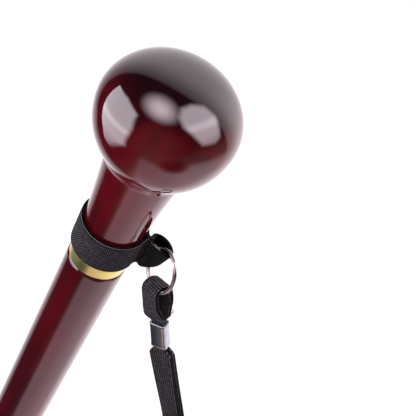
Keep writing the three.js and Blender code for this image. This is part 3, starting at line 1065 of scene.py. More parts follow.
@dataclass
class NeckBand:
    """One strip of elastic: round the neck, stitched where its layers meet, and on into the tab.

    Angles are in degrees round the stick, from +X.
    """

    stick: Stick
    width: float = 14.7 * MM
    thickness: float = 1.2 * MM
    foot: float = 6.79 * MM
    root_angle: float = 6.9
    end_angle: float = 27.6
    twist: float = 22.66
    reach: float = 10.64 * MM
    seam: float = 2.14 * MM
    back_opening: float = 3.86 * MM
    front_opening: float = 1.78 * MM
    back_lean: float = 0.03
    front_lean: float = -0.11
    end_width: float = 12.74 * MM
    corner_thicknesses: float = 1.6
    entry_share: float = 1 / 3
    gap: float = 0.3 * MM
    wrap_steps: int = 40
    tab_steps: int = 22
    strip_steps: int = 440
    rib_depth: float = 0.03 * MM
    weave: Weave = Weave(ribs=24, squareness=9, points=34)

    @property
    def lower_radius(self) -> float:
        """The radius of the band's middle layer at its lower edge, over the collar."""
        return self.stick.collar_radius + self.gap + self.thickness / 2

    @property
    def top_radius(self) -> float:
        """The radius of the band's middle layer at its upper edge."""
        neck = self.stick.radius_at(self.foot + self.width)
        return max(self.lower_radius, neck + self.gap + self.thickness / 2)

    @property
    def middle_height(self) -> float:
        """The height of the band's middle above the floor."""
        return self.stick.collar_base + self.foot + self.width / 2

    def tab_point(self, reach: float, aside: float) -> tuple[Vector, Vector, float]:
        """A point of the tab.

        Args:
            reach: how far along it lies from the band.
            aside: how far it lies from the tab's middle.

        Returns:
            The point, the direction across the strip there, and the strip's width.
        """
        run = between(reach, self.seam, self.reach)
        bend = math.radians(self.end_angle - self.root_angle)
        root = math.radians(self.root_angle)
        heading = root + bend * run
        place = Vector((math.cos(root), math.sin(root), 0)) * (self.top_radius + min(reach, self.seam))
        bend_radius = (self.reach - self.seam) / bend
        place.x += bend_radius * (math.sin(heading) - math.sin(root))
        place.y += bend_radius * (math.cos(root) - math.cos(heading))
        place.z = self.middle_height
        left = Vector((-math.sin(heading), math.cos(heading), 0))
        twist = -math.radians(self.twist) * smooth(run)
        across = UP * math.cos(twist) + left * math.sin(twist)
        aslant = left * math.cos(twist) - UP * math.sin(twist)
        return place + aslant * aside, across, lerp(self.width, self.end_width, smooth(run))

    def edges(self) -> list[list[Vector]]:
        """The strip's edges, all the way round.

        Returns:
            The points of the lower edge and those of the upper one.
        """
        layer = (self.thickness + self.gap) / 2
        entry = self.seam * self.entry_share
        corner = math.asin((layer + self.thickness * self.corner_thicknesses) / self.top_radius)
        lean = Vector((self.top_radius - self.lower_radius, self.width)).normalized()
        points: list[tuple[Vector, Vector, float]] = []
        for i in range(self.wrap_steps + 1):
            angle = math.radians(self.root_angle) - corner - (TURN - 2 * corner) * i / self.wrap_steps
            radial = Vector((math.cos(angle), math.sin(angle), 0))
            middle = radial * ((self.lower_radius + self.top_radius) / 2)
            middle.z = self.middle_height
            points.append((middle, radial * lean.x + UP * lean.y, self.width))
        points.append(self.tab_point(entry, layer))
        for i in range(self.tab_steps + 1):
            turn = TURN * i / self.tab_steps
            back = i < self.tab_steps / 2
            opening = self.back_opening if back else self.front_opening
            skew = self.back_lean if back else self.front_lean
            aside = layer * math.cos(turn / 2) + opening * math.sin(turn) * (1 + skew * math.cos(turn))
            reach = self.seam + (self.reach - self.seam) * (1 - math.cos(turn)) / 2
            points.append(self.tab_point(reach, aside))
        points.append(self.tab_point(entry, -layer))
        return [[p + a * (side * w / 2) for p, a, w in points] for side in (-1, 1)]

    def build(self, frame: dict[str, Any], finishes: Finishes) -> None:
        """Makes the woven strip and dresses the stitches.

        Args:
            frame: the loaded frame.
            finishes: the stick's materials.
        """
        low, high = self.edges()
        stations = []
        for i in range(self.strip_steps):
            share = i / self.strip_steps
            lower, upper = through_points(low, share, True), through_points(high, share, True)
            outline = self.weave.outline((upper - lower).length, self.thickness, self.rib_depth)
            stations.append(Station((lower + upper) / 2, (upper - lower).normalized(), outline))
        strip = sweep("elastic_neck_band", stations, True)
        dress(strip, finishes.elastic, Body.BAND, Slot.ELASTIC, "strap_band")
        dress_node(frame, "tab_stitches", finishes.thread)


@dataclass
class KeyRing:
    """A split ring of two turns that change places where the wire's ends lie.

    Angles are in degrees, and the wire's ends narrow over their last few steps.
    """

    stick: Stick
    radius: float = 8.75 * MM
    wire: float = 0.42 * MM
    coil_gap: float = 0.12 * MM
    out: float = 23.71 * MM
    aside: float = 0.79 * MM
    height: float = 12.1 * MM
    facing: float = 47.65
    tilt: float = 5.7
    crossover: float = 20
    end_gap: float = 4
    hang_angle: float = 29
    steps: int = 420
    tip_share: float = 0.55
    tip_steps: int = 5

    @property
    def axle(self) -> Vector:
        """The direction square to the ring.

        Returns:
            A unit vector.
        """
        tilt, facing = math.radians(self.tilt), math.radians(self.facing)
        flat = Vector((math.cos(facing), math.sin(facing), 0)) * math.cos(tilt)
        return flat - UP * math.sin(tilt)

    @property
    def down(self) -> Vector:
        """The direction from the ring's centre to its lowest point."""
        return (-UP + self.axle * self.axle.z).normalized()

    @property
    def hang(self) -> Vector:
        """The direction from the centre to where the strap hangs."""
        return turned(self.down, self.axle, -self.hang_angle)

    @property
    def along(self) -> Vector:
        """The wire's direction where the strap hangs."""
        return turned(self.down.cross(self.axle), self.axle, -self.hang_angle)

    @property
    def centre(self) -> Vector:
        """The ring's centre."""
        return Vector((self.out, -self.aside, self.stick.collar_base + self.height))

    def build(self, finishes: Finishes) -> None:
        """Makes the wire.

        Args:
            finishes: the stick's materials.
        """
        once = 360
        half = self.wire + self.coil_gap / 2
        first = self.crossover + self.end_gap
        stations = []
        for i in range(self.steps + 1):
            turn = lerp(first, 2 * once - first, i / self.steps)
            shift = 2 * smooth(between(turn, once - self.crossover, once + self.crossover)) - 1
            radial = turned(-self.hang, self.axle, turn)
            slim = lerp(self.tip_share, 1, min(1.0, min(i, self.steps - i) / self.tip_steps))
            place = self.centre + radial * self.radius + self.axle * (shift * half)
            stations.append(Station(place, radial, round_outline(self.wire * slim)))
        ring = sweep("split_key_ring", stations)
        dress(ring, finishes.nickel, Body.RING, Slot.NICKEL, "split_ring")


@dataclass(frozen=True)
class Fray:
    """Short loose fibres that stand out of a tape's cut end.

    A span holds the least and the most that is drawn for a fibre. Its start is in metres from the
    end's middle, and its lean is in shares of its length.
    """

    seed: int = 7
    count: int = 120
    radius: float = 0.07 * MM
    points: int = 4
    start_across: Span = (-3.6 * MM, 3.6 * MM)
    start_through: Span = (-0.6 * MM, 0.6 * MM)
    start_inside: Span = (0.4 * MM, 1.6 * MM)
    lean_across: Span = (-0.8, 0.8)
    lean_through: Span = (-0.4, 0.4)
    lean_outward: Span = (0, 1.1)
    length: Span = (1 * MM, 2.8 * MM)
    bend: float = 0.8

    def make(self, name: str, end: Station, ahead: Vector, outward: Vector) -> Any:
        """Makes the fibres.

        Args:
            name: of the object.
            end: the tape's last station.
            ahead: the direction in which the tape ends.
            outward: the direction in which the fibres splay.

        Returns:
            The object.
        """
        draw = random.Random(self.seed)
        through = ahead.cross(end.across)
        curve = bpy.data.curves.new(name, "CURVE")
        curve.dimensions = "3D"
        curve.bevel_depth = self.radius
        curve.bevel_resolution = 1
        for _ in range(self.count):
            start = end.place + end.across * draw.uniform(*self.start_across)
            start += through * draw.uniform(*self.start_through)
            start -= ahead * draw.uniform(*self.start_inside)
            lean = end.across * draw.uniform(*self.lean_across) + through * draw.uniform(*self.lean_through)
            lean += outward * draw.uniform(*self.lean_outward)
            reach = draw.uniform(*self.length)
            strand = curve.splines.new("POLY")
            strand.points.add(self.points - 1)
            for k, point in enumerate(strand.points):
                share = k / (self.points - 1)
                spot = start + ahead * (reach * share) + lean * (reach * share**2 * self.bend)
                point.co = (*spot, 1)
        fibres = bpy.data.objects.new(name, curve)
        bpy.context.scene.collection.objects.link(fibres)
        return as_mesh(fibres)


def as_mesh(made: Any) -> Any:
    """Turns a curve object into a mesh object of the same name.

    Args:
        made: the curve object, which is removed.

    Returns:
        The mesh object.
    """
    bpy.context.view_layer.update()
    graph = bpy.context.evaluated_depsgraph_get()
    mesh = bpy.data.meshes.new_from_object(made.evaluated_get(graph))
    name = made.name
    bpy.data.objects.remove(made)
    mesh.name = name
    plain = bpy.data.objects.new(name, mesh)
    bpy.context.scene.collection.objects.link(plain)
    return plain


@dataclass
class Clamp:
    """Sheet metal bent round the tape's layers, with its two edges meeting at the back.

    Each dent wave has its count round the clamp, its size next to dent, and where it starts.
    """

    height: float = 12.3 * MM
    wall: float = 0.45 * MM
    corner: float = 1.1 * MM
    slit: float = 0.7 * MM
    dent: float = 0.16 * MM
    dent_waves: tuple[tuple[float, float, float], ...] = ((5, 1, 0.6), (9, 0.6, 0))
    mouth_share: float = 0.72
    mouth_flare: float = 0.035
    broken_edge: float = 0.12 * MM
    rows: int = 12
    corner_steps: int = 7

    def outline(self, wide: float, deep: float) -> Outline:
        """The middle of the sheet, from one edge of the slit round to the other.

        Args:
            wide: half the width inside.
            deep: half the depth inside.

        Returns:
            Points across and through the clamp.
        """
        middle = self.wall / 2
        corner = self.corner - middle
        quarter = 90
        points = [(self.slit / 2, -deep - middle)]
        for sx, sy, start in ((1, -1, -quarter), (1, 1, 0), (-1, 1, quarter), (-1, -1, 2 * quarter)):
            for i in range(self.corner_steps + 1):
                angle = math.radians(start + quarter * i / self.corner_steps)
                x = sx * (wide + middle - corner) + corner * math.cos(angle)
                points.append((x, sy * (deep + middle - corner) + corner * math.sin(angle)))
        return points + [(-self.slit / 2, -deep - middle)]

    def make(self, name: str, wide: float, deep: float, spot: Matrix) -> Any:
        """Makes the clamp.

        Args:
            name: of the object.
            wide: half the width inside.
            deep: half the depth inside.
            spot: where its mouth is, and which way its height runs.

        Returns:
            The object.
        """
        shape = bmesh.new()
        chain = [shape.verts.new((x, y, 0)) for x, y in self.outline(wide, deep)]
        edges = [shape.edges.new(pair) for pair in zip(chain, chain[1:])]
        for _ in range(self.rows):
            grown = bmesh.ops.extrude_edge_only(shape, edges=edges)["geom"]
            fresh = [v for v in grown if isinstance(v, bmesh.types.BMVert)]
            grown_edges = (e for e in grown if isinstance(e, bmesh.types.BMEdge))
            edges = [e for e in grown_edges if all(v in fresh for v in e.verts)]
            bmesh.ops.translate(shape, verts=fresh, vec=(0, 0, self.height / self.rows))
        bmesh.ops.recalc_face_normals(shape, faces=shape.faces)
        for vert in shape.verts:
            self.work_mouth(vert)
        bmesh.ops.transform(shape, matrix=spot, verts=shape.verts)
        for patch in shape.faces:
            patch.smooth = True
        made = finished(name, shape)
        wall = made.modifiers.new("wall", "SOLIDIFY")
        wall.thickness = self.wall
        wall.offset = 0
        edge_round = made.modifiers.new("edges", "BEVEL")
        edge_round.width = self.broken_edge
        edge_round.segments = 2
        edge_round.limit_method = "ANGLE"
        return made

    def work_mouth(self, vert: Any) -> None:
        """Flares and dents the sheet near both mouths.

        Args:
            vert: the vertex that may move.
        """
        from_middle = abs(vert.co.z / self.height - 0.5) * 2
        near_mouth = smooth(between(from_middle, self.mouth_share, 1))
        around = math.atan2(vert.co.y, vert.co.x)
        dents = sum(size * math.sin(count * around + start) for count, size, start in self.dent_waves)
        flare = 1 + self.mouth_flare * near_mouth
        vert.co.x *= flare
        vert.co.y *= flare
        vert.co.z += self.dent * dents * near_mouth


@dataclass
class WristStrap:
    """One length of braid: over the ring, through the clamp, round the wrist loop and back to the clamp.

    Angles are in degrees. A drop is a distance down the strap from the fold's middle.
    """

    ring: KeyRing
    clamp: Clamp = field(default_factory=Clamp)
    fray: Fray = Fray()
    weave: Weave = Weave(ribs=10, squareness=5, points=44)
    lean: float = 19.5
    swing: float = 21.6
    clamp_twist: float = 25
    wrist_twist: float = 14
    wrist_twist_share: float = 1 / 3
    width: float = 10 * MM
    thickness: float = 2 * MM
    rib_depth: float = 0.28 * MM
    pinched_width: float = 5.4 * MM
    pinched_thickness: float = 0.9 * MM
    pinched_rib_depth: float = 0.08 * MM
    loop_radius: float = 3.3 * MM
    wrist_length: float = 150 * MM
    leg_gap: float = 0.5 * MM
    end_radius: float = 2 * MM
    drift: float = 6 * MM
    pinch_run: float = 6 * MM
    end_proud: float = 2.6 * MM
    end_flare: float = 1.4 * MM
    mouth: float = 0.8 * MM
    clamp_drop: float = 17 * MM
    gap: float = 0.3 * MM
    tape_steps: int = 620
    bend_steps: int = 8
    drift_shares: tuple[float, ...] = (0, 0.42, 0.8, 1, 0.95, 0.75, 0.45)
    bulge_shares: Span = (0.45, 0.85)
    leg_shares: tuple[float, ...] = (0.05, 0.2, 0.4, 0.6, 0.8, 0.92)

    @property
    def down(self) -> Vector:
        """The direction in which the strap hangs.

        Returns:
            A unit vector.
        """
        ring = self.ring
        in_plane = turned(ring.down, ring.axle, -self.lean)
        swing = math.radians(self.swing)
        return in_plane * math.cos(swing) + ring.axle * math.sin(swing)

    @property
    def fold_centre(self) -> Vector:
        """The middle of the fold, which clears the bow of wire across the tape's width.

        Returns:
            The point.
        """
        ring = self.ring
        bow_top = math.sqrt((ring.radius - ring.wire) ** 2 - (self.width / 2) ** 2)
        bow_foot = ring.radius + ring.wire
        bow_reach = math.hypot((bow_foot - bow_top) / 2, 2 * ring.wire + ring.coil_gap / 2)
        swing_centre = ring.centre + ring.hang * ((bow_top + bow_foot) / 2)
        return swing_centre + self.down * (self.loop_radius - self.thickness / 2 - bow_reach - self.gap)

    @property
    def clamp_foot(self) -> float:
        """The drop to the clamp's lower edge."""
        return self.clamp_drop + self.clamp.height

    @property
    def layer(self) -> float:
        """From one layer's middle to the next in the clamp."""
        return self.pinched_thickness + self.gap

    def frame_at(self, drop: float) -> tuple[Vector, Vector]:
        """The strap's directions at a drop.

        Args:
            drop: how far down.

        Returns:
            The direction across the tape, and that through it.
        """
        wrist_foot = self.clamp_foot + self.wrist_length * self.wrist_twist_share
        to_clamp = smooth(between(drop, self.loop_radius, self.clamp_drop))
        to_wrist = smooth(between(drop, self.clamp_foot, wrist_foot))
        twist = self.clamp_twist * to_clamp + (self.wrist_twist - self.clamp_twist) * to_wrist
        across = turned(self.ring.along, self.down, -twist)
        return across, self.down.cross(across).normalized()

    def drift_at(self, drop: float) -> float:
        """How far the wrist loop has bowed outwards.

        Args:
            drop: how far down.

        Returns:
            The distance from the straight line.
        """
        step = self.wrist_length / (len(self.drift_shares) - 1)
        points = [Vector((i * step, share * self.drift)) for i, share in enumerate(self.drift_shares)]
        share = between(drop, self.clamp_foot + self.mouth, self.clamp_foot + self.wrist_length)
        return through_points(points, share).y

    def place(self, drop: float, aside: float) -> Vector:
        """A point of the strap, by its drop and how far it lies from the middle."""
        _, through = self.frame_at(drop)
        return self.fold_centre + self.down * drop - through * (aside + self.drift_at(drop))

    def pinch_at(self, drop: float) -> float:
        """How far the clamp squeezes the tape.

        Args:
            drop: how far down.

        Returns:
            From 0, loose, to 1, in the clamp.
        """
        above = smooth(between(drop, self.clamp_drop - self.pinch_run, self.clamp_drop - self.mouth))
        below = smooth(between(drop, self.clamp_foot + self.mouth, self.clamp_foot + self.pinch_run))
        return above * (1 - below)

    def route(self) -> list[Vector]:
        """The tape's route, from its hidden end in the clamp to its cut end above it.

        Returns:
            Points that hold a drop and a distance aside.
        """
        leg = (self.thickness + self.leg_gap) / 2
        top, foot = self.clamp_drop - self.mouth, self.clamp_foot + self.mouth
        bend, turn, layer, run = self.loop_radius, self.end_radius, self.layer, self.pinch_run
        near_bulge, far_bulge = (bend * share for share in self.bulge_shares)
        arc = half_circle(self.bend_steps)
        route = [(self.clamp_foot - self.gap, 0.0), (top, 0.0)]
        route += [(self.clamp_drop - run, near_bulge), (self.clamp_drop - 2 * run, bend)]
        route += [(-bend * sine, bend * cosine) for sine, cosine in arc]
        route += [(self.clamp_drop - 2 * run, -bend), (self.clamp_drop - run, -far_bulge)]
        route += [(top, -layer), (foot, -layer)]
        straight = self.clamp_foot + self.wrist_length - turn - self.thickness / 2
        drops = [lerp(self.clamp_foot, straight, share) for share in self.leg_shares]
        route += [(drop, -leg) for drop in drops]
        route += [(straight + turn * sine, -turn * cosine) for sine, cosine in arc]
        route += [(drop, leg) for drop in reversed(drops)]
        route += [(foot, layer), (top, layer)]
        route.append((self.clamp_drop - self.end_proud, layer + self.end_flare))
        return [Vector((drop, aside, 0)) for drop, aside in route]

    def tape_stations(self) -> list[Station]:
        """Sets the tape's section out along its route.

        Returns:
            The stations of the whole tape.
        """
        route = self.route()
        stations = []
        for i in range(self.tape_steps + 1):
            spot = through_points(route, i / self.tape_steps)
            pinch = self.pinch_at(spot.x)
            outline = self.weave.outline(
                lerp(self.width, self.pinched_width, pinch),
                lerp(self.thickness, self.pinched_thickness, pinch),
                lerp(self.rib_depth, self.pinched_rib_depth, pinch),
            )
            stations.append(Station(self.place(spot.x, spot.y), self.frame_at(spot.x)[0], outline))
        return stations

    def make_clamp(self) -> Any:
        """Makes the clamp round the pinched layers.

        Returns:
            The object.
        """
        _, through = self.frame_at(self.clamp_drop)
        axes = Matrix((through.cross(self.down), through, self.down)).transposed().to_4x4()
        spot = Matrix.Translation(self.place(self.clamp_drop, 0)) @ axes
        wide = self.pinched_width / 2 + self.gap
        deep = self.layer + self.pinched_thickness / 2 + self.gap
        return self.clamp.make("crimped_clamp", wide, deep, spot)

    def build(self, finishes: Finishes) -> None:
        """Makes the tape, its frayed end and the clamp. The lacquer doesn't mirror the tape.

        Args:
            finishes: the stick's materials.
        """
        stations = self.tape_stations()
        last = stations[-1]
        tape = sweep("wrist_strap_tape", stations)
        dress(tape, finishes.braid, Body.STRAP, Slot.BRAID, "strap_tape")
        tape.visible_glossy = False
        ahead = (last.place - stations[-4].place).normalized()
        outward = (last.place - self.place(self.clamp_drop - self.end_proud, 0)).normalized()
        fibres = self.fray.make("frayed_end", last, ahead, outward)
        dress(fibres, finishes.thread, Body.STRAP, Slot.BRAID)
        dress(self.make_clamp(), finishes.clamp, Body.STRAP, Slot.NICKEL, "crimp_clamp")


@dataclass
class Ferrule:
    """The rubber foot with its lip, flange and treaded pad, and the washer inside it."""

    stick: Stick
    height: float = 38 * MM
    floor: float = 6 * MM
    wall: float = 2.2 * MM
    flare: float = 0.09
    pad_radius: float = 13.2 * MM
    pad_height: float = 8.6 * MM
    pad_edge: float = 0.77 * MM
    groove_radius: float = 11.7 * MM
    groove_height: float = 1.8 * MM
    flange_radius: float = 14.6 * MM
    flange_height: float = 3.2 * MM
    flange_rise: float = 0.8 * MM
    lip_height: float = 3.4 * MM
    lip_proud: float = 0.9 * MM
    treads: int = 2
    tread_depth: float = 1 * MM
    tread_width: float = 1.2 * MM
    tread_pitch: float = 3.4 * MM
    tread_inner: float = 4.2 * MM
    soft_edge: float = 1.1 * MM
    fine_edge: float = 0.3 * MM
    gap: float = 0.3 * MM
    sides: int = 96
    edge_steps: int = 5

    def outline(self) -> Outline:
        """The ferrule's outline.

        Returns:
            Points from under the pad, round the outside, to the bottom of the bore.
        """
        flange_foot = self.pad_height + self.groove_height
        flange_top = flange_foot + self.flange_height
        lip_foot = self.height - self.lip_height
        neck = self.stick.shaft_radius_at(lip_foot) + self.gap + self.wall
        body = neck + self.flare * (lip_foot - flange_top)
        lip = neck + self.lip_proud
        bore_top = self.stick.shaft_radius_at(self.height) + self.gap
        bore_foot = self.stick.shaft_radius_at(self.stick.shaft_foot) + self.gap
        soft, fine = self.soft_edge, self.fine_edge
        corners: list[tuple[float, float, float]] = [(0, 0, 0)]
        for tread in range(self.treads):
            inner = self.tread_inner + tread * self.tread_pitch
            outer = inner + self.tread_width
            corners += [(inner, 0, fine), (inner, self.tread_depth, fine)]
            corners += [(outer, self.tread_depth, fine), (outer, 0, fine)]
        corners += [
            (self.pad_radius, 0, soft),
            (self.pad_radius, self.pad_height, self.pad_edge),
            (self.groove_radius, self.pad_height, fine),
            (self.groove_radius, flange_foot, fine),
            (self.flange_radius, flange_foot, soft),
            (self.flange_radius, flange_top, soft),
            (body, flange_top + self.flange_rise, soft),
            (neck, lip_foot, fine),
            (lip, lip_foot, soft),
            (lip, self.height, soft),
            (bore_top, self.height, fine),
            (bore_foot, self.floor, 0),
            (0, self.floor, 0),
        ]
        return rounded_outline(corners, self.edge_steps)

    def build(self, frame: dict[str, Any], finishes: Finishes) -> None:
        """Makes the rubber and dresses the washer.

        Args:
            frame: the loaded frame.
            finishes: the stick's materials.
        """
        foot = lathe("rubber_foot", self.outline(), self.sides)
        dress(foot, finishes.rubber, Body.FERRULE, Slot.RUBBER, "rubber_ferrule")
        dress_node(frame, "ferrule_washer", finishes.steel)


# The studio


Angles = tuple[float, float]


def bearing(angles: Angles) -> Vector:
    """The direction at some angles, in degrees.

    Args:
        angles: round the stick from +X, and above level.

    Returns:
        A unit vector.
    """
    round_stick, above = (math.radians(angle) for angle in angles)
    level = math.cos(above)
    return Vector((math.cos(round_stick) * level, math.sin(round_stick) * level, math.sin(above)))


@dataclass(frozen=True)
class SoftBox:
    """A folded soft light, with its corners and the ends of its bright fold as seen from the knob.

    It dims downwards, between two heights given as the sine of the angle above level.
    """

    name: str
    corners: tuple[Angles, ...]
    fold: tuple[Angles, Angles]
    dims_between: Span
    colour: Colour
    radiance: float
    distance: float


LEFT_BOX = SoftBox(
    name="left_box",
    corners=((177, 17), (198, 31), (232, 35), (244, 10), (245, -30), (212, -54), (195, -49), (186, -10)),
    fold=((182, -18), (244, -2)),
    dims_between=(-0.88, -0.42),
    colour=(1, 0.97, 1.05),
    radiance=5.8,
    distance=0.28,
)
RIGHT_BOX = SoftBox(
    name="right_box",
    corners=((-50, 84), (45, 74), (46, 56), (36, 38), (19, 15), (6, 11), (-18, 18), (-50, 52), (-66, 67)),
    fold=((32, 35), (-48, 47)),
    dims_between=(0.1, 0.62),
    colour=(1, 0.85, 0.94),
    radiance=6.0,
    distance=1.0,
)


@dataclass(frozen=True)
class PaperRoom:
    """What the lacquer mirrors: white paper behind and below the stick, and a dim room in front.

    An edge or side is where one colour gives way to the next, by a part of a direction of length 1:
    x towards the strap's side, y away from the camera, z up. The paper's edge bows with height, and
    a dark gap lies round one direction.
    """

    paper: Colour = (1.42, 1.31, 1.39)
    side_paper: Colour = (2.1, 1.9, 1.98)
    paper_side: Span = (0.1, 0.9)
    paper_edges: tuple[Span, Span] = ((0.39, 0.48), (0.42, 0.85))
    paper_shares: Span = (0.3, 0.7)
    paper_bow: float = 0.3
    paper_bow_lean: float = 0.12
    floor_paper: Colour = (0.8, 0.6, 0.68)
    floor_side_paper: Colour = (1.2, 0.95, 1.02)
    floor_sides: tuple[Span, Span] = ((-0.1, 0.02), (0.2, 0.8))
    floor_edge: Span = (0.4, 0.7)
    floor_rise: float = 0.35
    floor_rise_side: Span = (0.5, 1.0)
    wood_edge: Colour = (0.27, 0.19, 0.17)
    wood_side: Span = (-0.2, -0.06)
    cool_edge: Colour = (0.05, 0.055, 0.08)
    cool_side: Span = (-0.36, -0.22)
    haze: Colour = (0.27, 0.2, 0.2)
    haze_edge: Span = (-0.15, 0.5)
    haze_side: Span = (-0.15, 0.1)
    room: Colour = (0.03, 0.03, 0.045)
    room_middle: Colour = (0.12, 0.1, 0.1)
    middle_edge: Span = (0.55, 0.95)
    middle_side: Span = (-0.6, -0.1)
    gap_towards: tuple[float, float, float] = (0.6, -0.66, -0.42)
    gap_edge: Span = (0.9, 0.985)
    gap_share: float = 0.95

    def make(self) -> Any:
        """Builds the world. The camera itself sees plain white.

        Returns:
            The world.
        """
        world = bpy.data.worlds.new("paper_sweep")
        world.use_nodes = True
        room = Wiring(world.node_tree, world.node_tree.nodes["Background"])
        x, y, z = room.parts(room.node("ShaderNodeTexCoord", {}, {}, "Generated"))
        rise = y + z * z * self.paper_bow - z * z.size() * self.paper_bow_lean
        near, far = (rise.over(*edge) * share for edge, share in zip(self.paper_edges, self.paper_shares))
        below = x.over(*self.floor_rise_side) * self.floor_rise - z
        low = below.over(*self.floor_edge)
        middle = (0 - y).over(*self.middle_edge) * x.over(*self.middle_side)
        hazy = below.over(*self.haze_edge) * x.over(*self.haze_side)
        lit = room.mix(middle, self.room, self.room_middle)
        lit = room.mix(hazy, lit, self.haze)
        lit = room.mix(x.over(*self.cool_side) * low, lit, self.cool_edge)
        lit = room.mix(x.over(*self.wood_side) * low, lit, self.wood_edge)
        floor = room.mix(x.over(*self.floor_sides[1]), self.floor_paper, self.floor_side_paper)
        lit = room.mix(x.over(*self.floor_sides[0]) * low, lit, floor)
        gap = x * self.gap_towards[0] + y * self.gap_towards[1] + z * self.gap_towards[2]
        lit = room.mix(gap.over(*self.gap_edge) * self.gap_share, lit, self.room)
        paper = room.mix(x.over(*self.paper_side), self.paper, self.side_paper)
        lit = room.mix(near + far, lit, paper)
        seen = room.node("ShaderNodeLightPath", {}, {}, "Is Camera Ray")
        room.set(Color=room.mix(seen, lit, (1, 1, 1)))
        return world


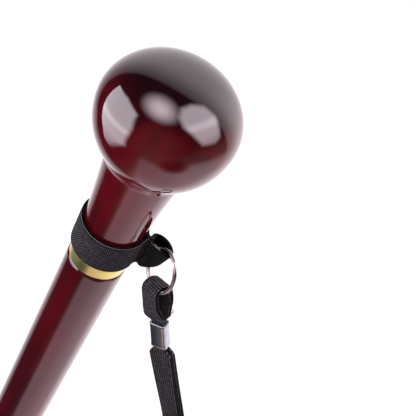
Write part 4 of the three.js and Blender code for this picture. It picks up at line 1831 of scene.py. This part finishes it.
@dataclass
class Studio:
    """The paper room, two soft boxes, a round lamp, a white floor and the camera."""

    target: Vector = field(default_factory=lambda: Vector((0, 0, 0.8996)))
    eye: Vector = field(default_factory=lambda: Vector((0.02666, -0.25733, 1.12083)))
    right: Vector = field(default_factory=lambda: Vector((0.855, 0.3596, 0.3735)))
    down: Vector = field(default_factory=lambda: Vector((0.5184, -0.5930, -0.6160)))
    focal: float = 1024.82
    picture: float = 416
    sensor: float = 36
    clip: Span = (0.01, 30)
    boxes: tuple[SoftBox, ...] = (LEFT_BOX, RIGHT_BOX)
    soft_rim: float = 0.18
    fold_reach: float = 0.16
    fold_light: Span = (0.68, 1)
    foot_light: Span = (0.32, 1)
    lamp_bearing: Angles = (-120, 66)
    lamp_side: Angles = (-11, 8)
    lamp_size: Span = (0.74, 0.56)
    lamp_distance: float = 1.2
    lamp_radiance: float = 6.1
    lamp_colour: Colour = (1, 0.8, 0.9)
    lamp_sides: int = 48
    floor_size: float = 6
    floor_grey: float = 0.3
    floor_glow: float = 0.86

    def camera(self) -> None:
        """Sets the camera where the photograph was taken from, with its focal length in pixels."""
        right = self.right.normalized()
        up = (-self.down - right * right.dot(-self.down)).normalized()
        turn = Matrix((right, up, right.cross(up))).transposed().to_4x4()
        data = bpy.data.cameras.new("close_up")
        data.sensor_width = self.sensor
        data.lens = self.focal / self.picture * self.sensor
        data.clip_start, data.clip_end = self.clip
        eye = bpy.data.objects.new("close_up", data)
        eye.matrix_world = Matrix.Translation(self.eye) @ turn
        bpy.context.scene.collection.objects.link(eye)
        bpy.context.scene.camera = eye

    def glowing(self, made: Any, glow: Any, fade: Field, radiance: float, shader: Shader) -> None:
        """Makes a staged light card glow, unseen by the camera itself.

        Args:
            made: the card.
            glow: its colour.
            fade: how much of the card is there, which ends softly at its rim.
            radiance: the full light.
            shader: the card's material, ready to be fed.
        """
        shader.set(Base_Color=(0, 0, 0, 1), Specular_IOR_Level=0.0, Roughness=1.0)
        shader.set(Emission_Color=glow, Emission_Strength=radiance, Alpha=fade)
        made.data.materials.append(shader.material)
        made.visible_camera = False
        made.visible_shadow = False

    def round_lamp(self) -> None:
        """Hangs the round lamp near the camera, with its light fading from its middle."""
        shape = bmesh.new()
        bmesh.ops.create_circle(shape, cap_ends=True, segments=self.lamp_sides, radius=1)
        bmesh.ops.scale(shape, verts=shape.verts, vec=(*self.lamp_size, 1))
        lamp = finished("round_lamp", shape)
        towards = bearing(self.lamp_bearing)
        side = bearing(self.lamp_side)
        side = (side - towards * towards.dot(side)).normalized()
        turn = Matrix((side, towards.cross(side), towards)).transposed().to_4x4()
        lamp.matrix_world = Matrix.Translation(self.target + towards * self.lamp_distance) @ turn
        shader = Shader("round_lamp")
        where = shader.places((*(1 / size for size in self.lamp_size), 1))
        off = shader.vector_maths("LENGTH", where, output="Value")
        self.glowing(lamp, (*self.lamp_colour, 1), 1 - off.over(0, 1), self.lamp_radiance, shader)

    def soft_box(self, box: SoftBox) -> None:
        """Hangs one soft box, which fades towards its rim.

        Args:
            box: its corners, fold and light.
        """
        shape = bmesh.new()
        inside = shape.verts.layers.float.new("inside")
        corners = [shape.verts.new(self.target + bearing(corner) * box.distance) for corner in box.corners]
        panels = [shape.faces.new((corners[0], *pair)) for pair in zip(corners[1:], corners[2:])]
        bmesh.ops.recalc_face_normals(shape, faces=panels)
        rim = {"thickness": box.distance * self.soft_rim, "use_boundary": True, "use_even_offset": True}
        bmesh.ops.inset_region(shape, faces=panels, **rim)
        for vert in shape.verts:
            vert[inside] = 0.0 if vert.is_boundary else 1.0
        shader = Shader(box.name)
        fold = bearing(box.fold[0]).cross(bearing(box.fold[1])).normalized()
        towards = shader.vector_maths("SUBTRACT", shader.places(), self.target)
        towards = shader.vector_maths("NORMALIZE", towards)
        off_fold = shader.vector_maths("DOT_PRODUCT", towards, fold, output="Value").size()
        ridge = 1 - off_fold.over(0, self.fold_reach)
        height = shader.parts(towards)[2].over(*box.dims_between)
        share = ridge.to(*self.fold_light) * height.to(*self.foot_light)
        glow = shader.mix(share, (0, 0, 0), box.colour)
        fade = shader.node("ShaderNodeAttribute", {"attribute_name": "inside"}, {}, "Fac").over(0, 1)
        self.glowing(finished(box.name, shape), glow, fade, box.radiance, shader)

    def floor(self) -> None:
        """Lays the white floor, which neither shows in the lacquer nor takes a shadow."""
        shape = bmesh.new()
        bmesh.ops.create_grid(shape, x_segments=1, y_segments=1, size=self.floor_size)
        ground = finished("white_floor", shape)
        shader = Shader("white_paper")
        grey = (self.floor_grey, self.floor_grey, self.floor_grey, 1)
        shader.set(Base_Color=grey, Roughness=0.9)
        shader.set(Emission_Color=(1, 1, 1, 1), Emission_Strength=self.floor_glow)
        ground.data.materials.append(shader.material)
        ground.visible_glossy = False
        ground.visible_shadow = False

    def build(self) -> None:
        """Sets up the whole studio."""
        self.camera()
        for box in self.boxes:
            self.soft_box(box)
        self.round_lamp()
        self.floor()
        bpy.context.scene.world = PaperRoom().make()
        bpy.context.scene.view_settings.view_transform = "Standard"


def main() -> None:
    """Builds the stick from the knob down, then the studio round it."""
    logging.basicConfig(level=logging.INFO, format="%(message)s")
    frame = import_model()
    finishes = Finishes()
    stick = Stick()
    stick.build(frame, finishes)
    NeckBand(stick).build(frame, finishes)
    ring = KeyRing(stick)
    ring.build(finishes)
    WristStrap(ring).build(finishes)
    Ferrule(stick).build(frame, finishes)
    Studio().build()


if __name__ == "__main__":
    main()
